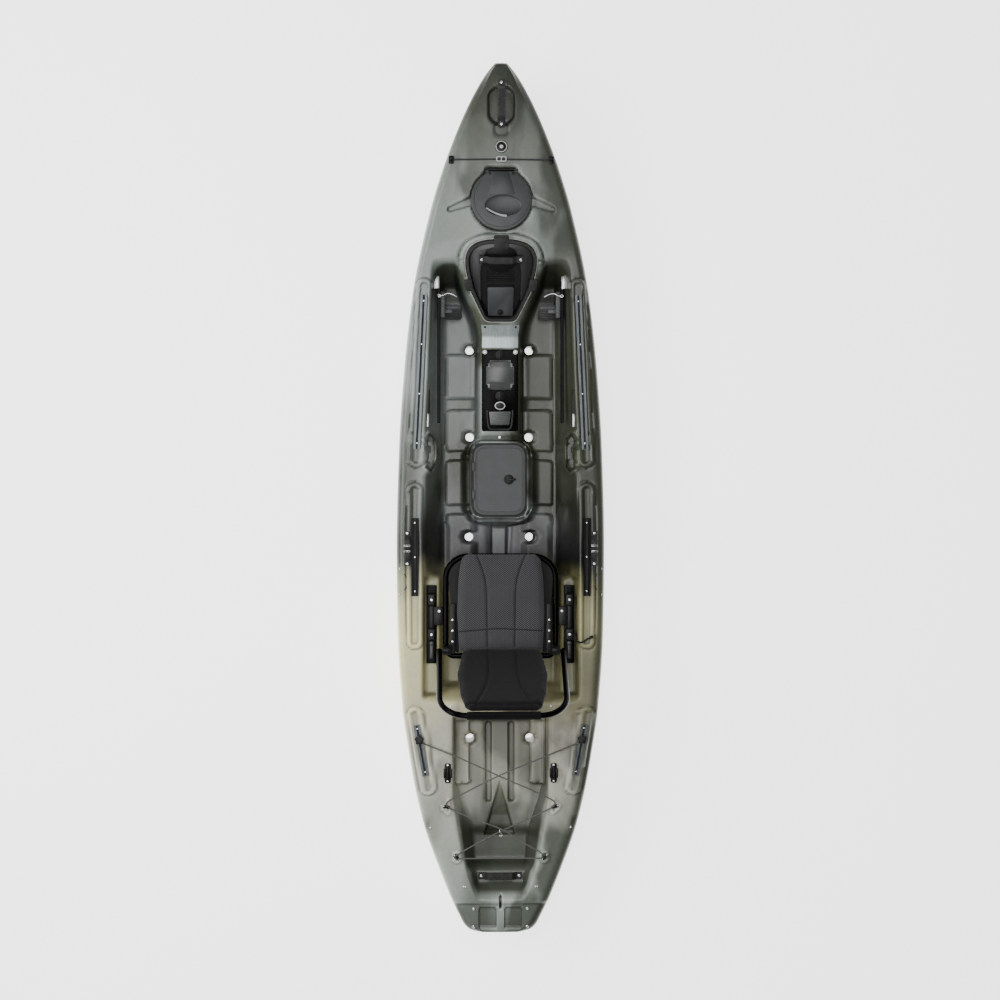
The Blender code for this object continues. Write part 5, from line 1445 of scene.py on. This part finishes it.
for side, hand, where in HANDS:
    low, high = sorted((side * 0.193, side * 0.2185))
    outline = [(-0.655, low), (-0.440, low), (-0.440, high), (-0.655, high)]
    panel = plate("panel", rounded_corners(outline, 0.008), SEAT_Z + 0.0165, SEAT_Z + 0.0295, 0.003, 3)
    low, high = sorted((side * 0.2130, side * 0.2475))
    cheek = [(-0.655, SEAT_Z + 0.018), (-0.615, SEAT_Z + 0.018), (-0.617, BACK_PIVOT[1] + 0.006),
             (-0.628, BACK_PIVOT[1] + 0.017), (-0.645, BACK_PIVOT[1] + 0.015),
             (-0.655, BACK_PIVOT[1] + 0.002)]
    stand = plate("cheek", rounded_corners(cheek, 0.010), low, high, 0.003)
    placed(stand, STAND_UP)
    stand.data.flip_normals()
    done(join("seat_side_panel_" + hand, [panel, stand]), black_nylon, "seat", "seat_panel_" + hand,
         slot="black_plastic")
    rivets = [(x, side * 0.206, SEAT_Z + 0.0293) for x in (-0.510, -0.556, -0.602)]
    screws("seat_rivets_" + hand, rivets, stainless, "seat", 0.0050)
    low, high = sorted((side * 0.2725, side * 0.3175))
    slide_y = side * SLIDE_Y
    rail = block("seat_slide_rail_" + hand, (-0.700, low, LEDGE_Z + 0.001),
                 (-0.365, high, LEDGE_Z + 0.0175), 0.002)
    groove = block("groove", (-0.690, slide_y - 0.006, LEDGE_Z + 0.010), (-0.375, slide_y + 0.006, 1.0),
                   0.0004, 1)
    done(carve(rail, groove), black_alloy, "hull_body", "seat_rail_" + hand, slot="aluminium")
    low, high = sorted((side * 0.2785, side * 0.3115))
    clamp = [block("front", (-0.452, low, LEDGE_Z + 0.019), (-0.400, high, LEDGE_Z + 0.0630), 0.006, 3),
             block("rear", (-0.600, low, LEDGE_Z + 0.019), (-0.548, high, LEDGE_Z + 0.0630), 0.006, 3),
             block("link", (-0.560, low + 0.006, LEDGE_Z + 0.019), (-0.440, high - 0.006, LEDGE_Z + 0.0520),
                   0.004)]
    low, high = sorted((side * 0.2475, side * 0.2850))
    clamp.append(block("ear", (-0.535, low, SEAT_Z - 0.016), (-0.455, high, SEAT_Z + 0.005), 0.004))
    done(join("seat_rail_clamp_" + hand, clamp), black_nylon, "seat", "seat_clamp_" + hand,
         slot="black_plastic")
    bolts = [(-0.426, slide_y, LEDGE_Z + 0.0626), (-0.574, slide_y, LEDGE_Z + 0.0626),
             (-0.474, side * 0.262, SEAT_Z + 0.0046)]
    screws("seat_clamp_bolts_" + hand, bolts, stainless, "seat", 0.0062)
    shaft = [block("lever", (-0.680, slide_y - 0.0095, LEDGE_Z + 0.0310),
                   (-0.6075, slide_y + 0.0095, LEDGE_Z + 0.0430), 0.004, 3),
             disc("hub", (-0.613, slide_y, LEDGE_Z + 0.0308), 0.0100, 0.0130, 0.002, 24)]
    done(join("seat_clamp_lever_" + hand, shaft), panel_plastic, "clamp_lever_" + where, "seat_lever_" + hand,
         slot="black_plastic")

# Pull strap: black webbing that tightens the back, hanging over the starboard deck.
webbing, tree, shader, place = new_material("woven_webbing", 0.85)
rib_pattern = add(tree, "TexWave", {"Vector": place, "Scale": 120.0, "Distortion": 0.4},
                  bands_direction="DIAGONAL")
coloured(tree, shader, ramp(tree, rib_pattern.outputs["Fac"], [(0.2, "#0b0b0b"), (0.9, "#161616")]))
bumped(tree, shader, rib_pattern.outputs["Fac"], 0.4, 0.0005)
strap_z = along(PANEL_Z, -0.6) + 0.012
strap_route = [(-0.570, -0.3178, 0.285), (-0.600, -0.3190, 0.312), (-0.606, -0.345, strap_z),
               (-0.592, -0.368, strap_z), (-0.584, -0.392, strap_z)]
pull = strap("seat_pull_strap", smooth_route(strap_route, 0.006), 0.011, 0.0024)
tab = strap("tab", [(-0.586, -0.378, strap_z), (-0.582, -0.394, strap_z)], 0.013, 0.0050)
done(join("seat_pull_strap", [pull, tab]), webbing, "seat", "seat_strap", slot="webbing")


# ---------------------------------------------------------------- seat cushions
# A knitted spacer mesh over foam: the base in dark grey, the back drawn nearly black as painted shade for the
# steep back. Each has two long curved seams, and the base a cross seam, sewn down through the pad, with a
# stitched hem at the top.

def knitted_mesh(name, yarn, gap, seam_colour, sheen):
    """Spacer mesh: yarns cross on the diagonal every 7 mm, drawn about twice as coarse as real."""
    made, tree, shader, place = new_material(name, 0.88, Sheen_Weight=sheen, Sheen_Roughness=0.5,
                                               Specular_IOR_Level=0.25)
    turned = add(tree, "Mapping", {"Vector": place, "Rotation": (0, 0, math.radians(38))}).outputs["Vector"]
    across = add(tree, "Mapping", {"Vector": place, "Rotation": (0, 0, math.radians(-38))}).outputs["Vector"]
    yarns = []
    for vector in (turned, across):
        wave = add(tree, "TexWave", {"Vector": vector, "Scale": 46.0, "Distortion": 0.6, "Detail": 1.0})
        yarns.append(wave.outputs["Fac"])
    knit = add(tree, "Math", {0: yarns[0], 1: yarns[1]}, operation="MULTIPLY").outputs[0]
    colour = ramp(tree, knit, [(0.10, gap), (0.55, yarn)])
    dusty = noise(tree, place, 9.0, 3.0)
    colour = shaded(tree, colour, remap(tree, dusty, 0.86, 1.14))
    seam = add(tree, "Attribute", attribute_name="seam").outputs["Fac"]
    coloured(tree, shader, mixed(tree, seam, colour, linear(seam_colour)))
    bumped(tree, shader, knit, 0.7, 0.0018)
    return made


def swollen(name, node, cap, shrink=1.0):
    """The pad's foam under its cover: remeshed, then blown up a little by the cloth simulation."""
    source = nodes[node]
    pad = source.copy()
    pad.data = source.data.copy()
    pad.animation_data_clear()
    pad.name = pad.data.name = name
    for key in list(pad.keys()):
        del pad[key]
    bpy.context.collection.objects.link(pad)
    pad.parent = None
    pad.matrix_world = Matrix.Identity(4)
    pad.data.materials.clear()
    bm = bmesh.new()
    bm.from_mesh(pad.data)
    bmesh.ops.remove_doubles(bm, verts=bm.verts, dist=0.0001)
    middle = sum((v.co for v in bm.verts), Vector()) / len(bm.verts)
    for vert in bm.verts:
        vert.co = middle + (vert.co - middle) * shrink
    bm.to_mesh(pad.data)
    bm.free()
    remesh = pad.modifiers.new("remesh", "REMESH")
    remesh.mode = "VOXEL"
    remesh.voxel_size = 0.0055
    apply_last(pad)
    relax = pad.modifiers.new("relax", "SMOOTH")
    relax.factor = 0.5
    relax.iterations = 6
    apply_last(pad)
    before = np.empty(len(pad.data.vertices) * 3)
    pad.data.vertices.foreach_get("co", before)
    cloth = pad.modifiers.new("cloth", "CLOTH")
    cloth.settings.quality = 5
    cloth.settings.use_pressure = True
    cloth.settings.uniform_pressure_force = 4
    cloth.settings.effector_weights.gravity = 0
    cloth.point_cache.frame_end = 20
    for step in range(1, 21):
        bpy.context.scene.frame_set(step)
    apply_last(pad)
    bpy.context.scene.frame_set(1)
    after = np.empty_like(before)
    pad.data.vertices.foreach_get("co", after)
    moved = (after - before).reshape(-1, 3)
    length = np.linalg.norm(moved, axis=1, keepdims=True)
    moved *= np.minimum(1, cap / np.maximum(length, 1e-9))
    pad.data.vertices.foreach_set("co", (before.reshape(-1, 3) + moved).ravel())
    fine = pad.modifiers.new("fine", "SUBSURF")
    fine.levels = fine.render_levels = 1
    apply_last(pad)
    return pad


def sew(pad, lines, to_plane, depth):
    """Pulls the cover down along its seams: lines are (u, v) runs on the pad's own plane."""
    count = len(pad.data.vertices)
    co = np.empty(count * 3)
    pad.data.vertices.foreach_get("co", co)
    co = co.reshape(-1, 3)
    u, v, away = to_plane(co)
    near = np.full(count, 1.0)
    for line in lines:
        for (au, av), (bu, bv) in zip(line, line[1:]):
            near = np.minimum(near, run_reach(u, v, (au, av), (bu, bv), 0.0, 0.0))
    pull = bead(near, 0.0065)
    co -= (depth * pull)[:, None] * away
    pad.data.vertices.foreach_set("co", co.ravel())
    mark = pad.data.attributes.new("seam", "FLOAT", "POINT")
    mark.data.foreach_set("value", bead(near, 0.0026).astype(np.float32))
    pad.data.update()


def flat_route(points):
    return [(p.x, p.y) for p in smooth_route([(u, v, 0) for u, v in points], 0.008)]


def on_seat(co):
    """Seat plane: u forward, v to port, and up, where only the upper side is pulled down."""
    up = np.tile((0.0, 0.0, 1.0), (len(co), 1))
    return co[:, 0], co[:, 1], up * climbing(co[:, 2:], 0.318, 0.01)


def on_back(co):
    """Back plane: u up the back, v to port, and ahead, where only the sitter's side is pulled in."""
    foot = back_point(0, 0)
    up = np.array((back_point(1, 0) - foot).normalized())
    ahead = np.array((back_point(0, 0, 1) - foot).normalized())
    from_pivot = co - np.array(foot)
    proud = (from_pivot @ ahead)[:, None]
    return from_pivot @ up, co[:, 1], ahead[None, :] * climbing(proud, 0.012, 0.01)


cushion = swollen("seat_cushion_pad", "seat_cushion", 0.0025)
seams = []
for side in (PORT, STARBOARD):
    seams.append(flat_route([(-0.228, side * 0.106), (-0.300, side * 0.078), (-0.380, side * 0.063),
                             (-0.620, side * 0.058)]))
seams.append(flat_route([(-0.560, 0.186), (-0.549, 0.060), (-0.546, 0.0), (-0.549, -0.060),
                         (-0.556, -0.186)]))
sew(cushion, seams, on_seat, 0.0055)
seat_knit = knitted_mesh("knitted_spacer_mesh_grey", "#58585a", "#2a2a2c", "#141416", 0.2)
done(cushion, seat_knit, "seat", "seat_cushion", slot="seat_mesh")

back_pad = swollen("seat_back_pad", "backrest", 0.0025)
seams = []
for side in (PORT, STARBOARD):
    seams.append(flat_route([(0.045, side * 0.060), (0.160, side * 0.058), (0.270, side * 0.072),
                             (0.385, side * 0.118)]))
seams.append(flat_route([(0.368, 0.150), (0.372, 0.0), (0.368, -0.150)]))
sew(back_pad, seams, on_back, 0.0050)
# The back's knit is drawn nearly black, far darker than the base's: painted shade for the steep back, turned
# from the lights.
back_knit_shaded = knitted_mesh("knitted_spacer_mesh_black_painted_shade", "#141215", "#0b0a0c", "#050505", 0.04)
done(back_pad, back_knit_shaded, "seat_back", "backrest", slot="back_fabric")

# The sling under the cushion shows as a strip of cloth along each side.
for side, hand, _ in HANDS:
    flap = [(-0.262, side * 0.148), (-0.330, side * 0.180), (-0.650, side * 0.178), (-0.650, side * 0.192),
            (-0.330, side * 0.224), (-0.290, side * 0.214), (-0.262, side * 0.180)]
    sling = plate("seat_sling_" + hand, rounded_corners(flap, 0.02), SEAT_Z + 0.0130, SEAT_Z + 0.0148, 0.0005)
    done(sling, webbing, "seat", slot="webbing")


# ---------------------------------------------------------------- side handles and paddle keepers
# A rubber strap handle on each side deck with two bright bands, and behind it a loop of cord on
# three screws that keeps the paddle shaft down.

for side, hand, _ in HANDS:
    base = along(PANEL_Z, -0.130) + 0.0010
    handle_y = side * 0.398
    at = Matrix.Translation((-0.206, handle_y, base))
    done(handle("side_handle_strap_" + hand, 0.150, 0.026, 0.026, 0.007, 0.022, at), rubber, "hull_body",
         "side_handle_" + hand, slot="rubber")
    bands = [block("band", (x - 0.0045, handle_y - 0.0138, base + 0.0175),
                   (x + 0.0045, handle_y + 0.0138, base + 0.0272), 0.001) for x in (-0.194, -0.218)]
    done(join("side_handle_bands_" + hand, bands), silver_alloy, "hull_body", slot="aluminium")
    screws("side_handle_screws_" + hand, [(x, handle_y, base + 0.0068) for x in (-0.141, -0.271)], stainless,
           "hull_body", 0.0060)
    keeper = [(-0.2935, side * 0.428), (-0.350, side * 0.392), (-0.403, side * 0.4285)]
    keeper = [(x, y, along(PANEL_Z, x) + 0.0035 - max(0.0, abs(y) - 0.414) * 0.83) for x, y in keeper]
    done(tube("paddle_keeper_" + hand, smooth_route(keeper, 0.01), 0.0022), shock_cord, "hull_body",
         slot="cord")
    screws("paddle_keeper_screws_" + hand, [(x, y, z - 0.001) for x, y, z in keeper], stainless,
           "hull_body", 0.0055)


# ---------------------------------------------------------------- tank well
# Open cargo well behind the seat, laced with one shock cord from the track anchors through pad-eyes
# on both sides, with a cleat on each coaming.

def over(x, y, lift=0.012):
    return (x, y, open_deck_z(x, y) + lift)


ANCHOR = (-1.020, 0.347)
anchor_z = open_deck_z(*ANCHOR) + 0.0165
lacing = [(ANCHOR[0] - 0.013, ANCHOR[1] - 0.011, anchor_z), over(-1.10, 0.17, 0.018), (-1.178, 0, 0.322),
          over(-1.245, -0.150, 0.018), over(-1.296, -0.232), over(-1.345, -0.150), (-1.415, 0.004, 0.300),
          over(-1.470, 0.110), over(-1.522, 0.196), over(-1.530, 0.186), over(-1.528, 0.0, 0.012),
          over(-1.530, -0.186), over(-1.522, -0.196), over(-1.470, -0.110), (-1.403, -0.004, 0.312),
          over(-1.345, 0.150), over(-1.296, 0.232), over(-1.245, 0.150, 0.018), (-1.168, 0, 0.332),
          over(-1.10, -0.17, 0.018), (ANCHOR[0] - 0.013, -ANCHOR[1] + 0.011, anchor_z)]
faded_cord = braided_cord("faded_shock_cord", ("#4a4b47", "#63645f"), 0.004)
done(tube("tank_well_lacing", smooth_route(lacing, 0.012), 0.003), faded_cord, "hull_body", "tank_bungee",
     slot="cord")
hook_at = Vector((-1.400, 0.0, 0.306))
hook = [(0.0, 0, 0.004), (-0.010, 0.006, 0.006), (-0.018, 0, 0.006), (-0.026, -0.006, 0.005),
        (-0.033, 0, 0.004), (-0.028, 0.006, 0.003)]
done(tube("lacing_hook", smooth_route([hook_at + Vector(p) for p in hook], 0.003), 0.0024), stainless,
     "hull_body", slot="steel")


def pad_eye(name, x, y, turn, lift=0.0):
    """Two-screw nylon base with a raised eye for the cord."""
    z = open_deck_z(x, y) + 0.0040 + lift
    base = plate("base", rounded_corners([(-0.017, -0.007), (0.017, -0.007), (0.017, 0.007),
                                          (-0.017, 0.007)], 0.006), 0, 0.004, 0.0012)
    eye = [(-0.008, 0, 0.003), (-0.007, 0, 0.0095), (0, 0, 0.0125), (0.007, 0, 0.0095), (0.008, 0, 0.003)]
    made = join(name, [base, tube("eye", smooth_route(eye, 0.002), 0.0023)])
    return placed(made, Matrix.Translation((x, y, z)) @ Matrix.Rotation(turn, 4, "Z"))


eyes, eye_screws = [], []
for side in (PORT, STARBOARD):
    for x, y, turn in ((-1.3085, 0.2315, math.pi / 2 - 0.25), (-1.5265, 0.188, math.pi / 2 - 0.7)):
        eyes.append(pad_eye("eye", x, side * y, side * turn))
        for end in (-1, 1):
            spot = Matrix.Rotation(side * turn, 4, "Z") @ Vector((end * 0.0128, 0, 0))
            eye_screws.append((x + spot.x, side * y + spot.y, open_deck_z(x, y) + 0.0078))
done(join("stern_pad_eyes", eyes), black_nylon, "hull_body", slot="black_plastic")
screws("pad_eye_screws", eye_screws, stainless, "hull_body", 0.0034)

for side, hand, _ in HANDS:
    y = side * 0.226
    z = open_deck_z(-1.165, y)
    outline = [(-1.206, y - 0.0135), (-1.122, y - 0.0135), (-1.122, y + 0.0135), (-1.206, y + 0.0135)]
    base = plate("base", rounded_corners(outline, 0.010), z + 0.0032, z + 0.0088, 0.002)
    horn = tube("horn", smooth_route([(-1.190, y, z + 0.0150), (-1.178, y, z + 0.0168),
                                      (-1.150, y, z + 0.0168), (-1.138, y, z + 0.0150)], 0.004), 0.0058)
    jaws = [block("jaw", (-1.184, y - 0.0180, z + 0.0085), (-1.144, y - 0.0075, z + 0.0200), 0.003),
            block("jaw", (-1.184, y + 0.0075, z + 0.0085), (-1.144, y + 0.0180, z + 0.0200), 0.003)]
    done(join("tank_cleat_" + hand, [base, horn, *jaws]), black_nylon, "hull_body", "cleat_" + hand,
         slot="black_plastic")
    screws("cleat_screws_" + hand, [(x, y, z + 0.0084) for x in (-1.198, -1.130)], stainless, "hull_body",
           0.0050)


# ---------------------------------------------------------------- stern
# A rubber strap handle across the rear step of the well, four bolts on the transom platform for a
# motor plate, a drain plug low on the transom, and small deck screws along the sides.

STERN_HANDLE = (-1.617, 0, 0.2155)
turned = Matrix.Translation(STERN_HANDLE) @ ACROSS
done(handle("stern_handle_strap", 0.190, 0.030, 0.030, 0.008, 0.026, turned), rubber, "hull_body",
     "stern_handle", slot="rubber")
screws("stern_handle_screws", both(STERN_HANDLE[0], 0.082, STERN_HANDLE[2] + 0.0076), stainless,
       "hull_body", 0.0068)


def deck_surface(x, y):
    """Height of the finished deck, mouldings included, at a point away from the wells."""
    return float(pressed(np.array([x]), np.array([y]), np.array([open_deck_z(x, y)]))[0])


bolts = [place for x in (-1.752, -1.830) for place in both(x, 0.1150, deck_surface(x, 0.115))]
screws("transom_bolts", bolts, stainless, "hull_body", 0.0070)
small = []
for x, y in ((-0.878, 0.214), (-1.655, 0.150), (-1.655, 0.158), (-1.40, 0.300)):
    small += both(x, y, deck_surface(x, y))
screws("deck_screws", small, stainless, "hull_body", 0.0046)
low, high = (Vector(c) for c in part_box("drain_plug"))
middle = (low + high) / 2
plug = [disc("plug", (0, 0, 0), 0.0165, 0.0075, 0.0015, 40),
        block("bar", (-0.0150, -0.0030, 0.006), (0.0150, 0.0030, 0.0112), 0.0012)]
facing_aft = Matrix.Translation((high.x, 0, middle.z)) @ Matrix.Rotation(-math.pi / 2, 4, "Y")
done(placed(join("transom_drain_plug", plug), facing_aft), black_nylon, "hull_body", "drain_plug",
     slot="black_plastic")


# ---------------------------------------------------------------- studio
# A white light table, a large soft light to port and overhead, and a camera straight above.

def stage_floor():
    bpy.ops.object.select_all(action="DESELECT")
    bpy.ops.mesh.primitive_plane_add(size=40, location=(0, 0, -0.002))
    floor = bpy.context.object
    floor.name = "studio_floor"
    # Opal acrylic, lit softly from behind, so that it casts no shadow and shows white in the holes.
    made, tree, shader, place = new_material("opal_light_table", 0.9)
    tint = noise(tree, place, 2.0)
    coloured(tree, shader, ramp(tree, tint, [(0.0, "#f4f4f4"), (1.0, "#f8f8f8")]))
    shader.inputs["Emission Color"].default_value = linear("#ffffff")
    shader.inputs["Emission Strength"].default_value = 2.4
    floor.data.materials.append(made)


def soft_light(name, place, size, power):
    lamp = bpy.data.lights.new(name, "AREA")
    lamp.shape = "RECTANGLE"
    lamp.size, lamp.size_y = size
    lamp.energy = power
    obj = bpy.data.objects.new(name, lamp)
    obj.location = place
    obj.rotation_euler = (Vector((0, 0, 0.2)) - obj.location).to_track_quat("-Z", "Y").to_euler()
    bpy.context.collection.objects.link(obj)


stage_floor()
soft_light("light_port", (0.5, 3.6, 3.6), (4.6, 1.6), 190)
soft_light("light_top", (0.1, 0.5, 6.2), (5.0, 1.8), 190)
world = bpy.data.worlds.new("studio")
world.use_nodes = True
world.node_tree.nodes["Background"].inputs["Color"].default_value = (1, 1, 1, 1)
world.node_tree.nodes["Background"].inputs["Strength"].default_value = 0.30
bpy.context.scene.world = world

CAMERA_HEIGHT = 8.8
CAMERA_SIDE = 0.27            # the camera stands a little to port of the keel line
FRAME_HEIGHT = 4.25           # metres of the gunwale plane that fill the frame
camera = bpy.data.cameras.new("camera")
camera.sensor_width = 36
camera.lens = camera.sensor_width / (FRAME_HEIGHT / math.hypot(CAMERA_HEIGHT - 0.33, CAMERA_SIDE))
camera_object = bpy.data.objects.new("camera", camera)
camera_object.location = (0, CAMERA_SIDE, CAMERA_HEIGHT)
aim = Vector((0, 0.004, 0.33)) - camera_object.location
back = -aim.normalized()
right = Vector((1, 0, 0)).cross(back).normalized()
camera_object.rotation_euler = Matrix((right, back.cross(right), back)).transposed().to_euler()
bpy.context.collection.objects.link(camera_object)
bpy.context.scene.camera = camera_object
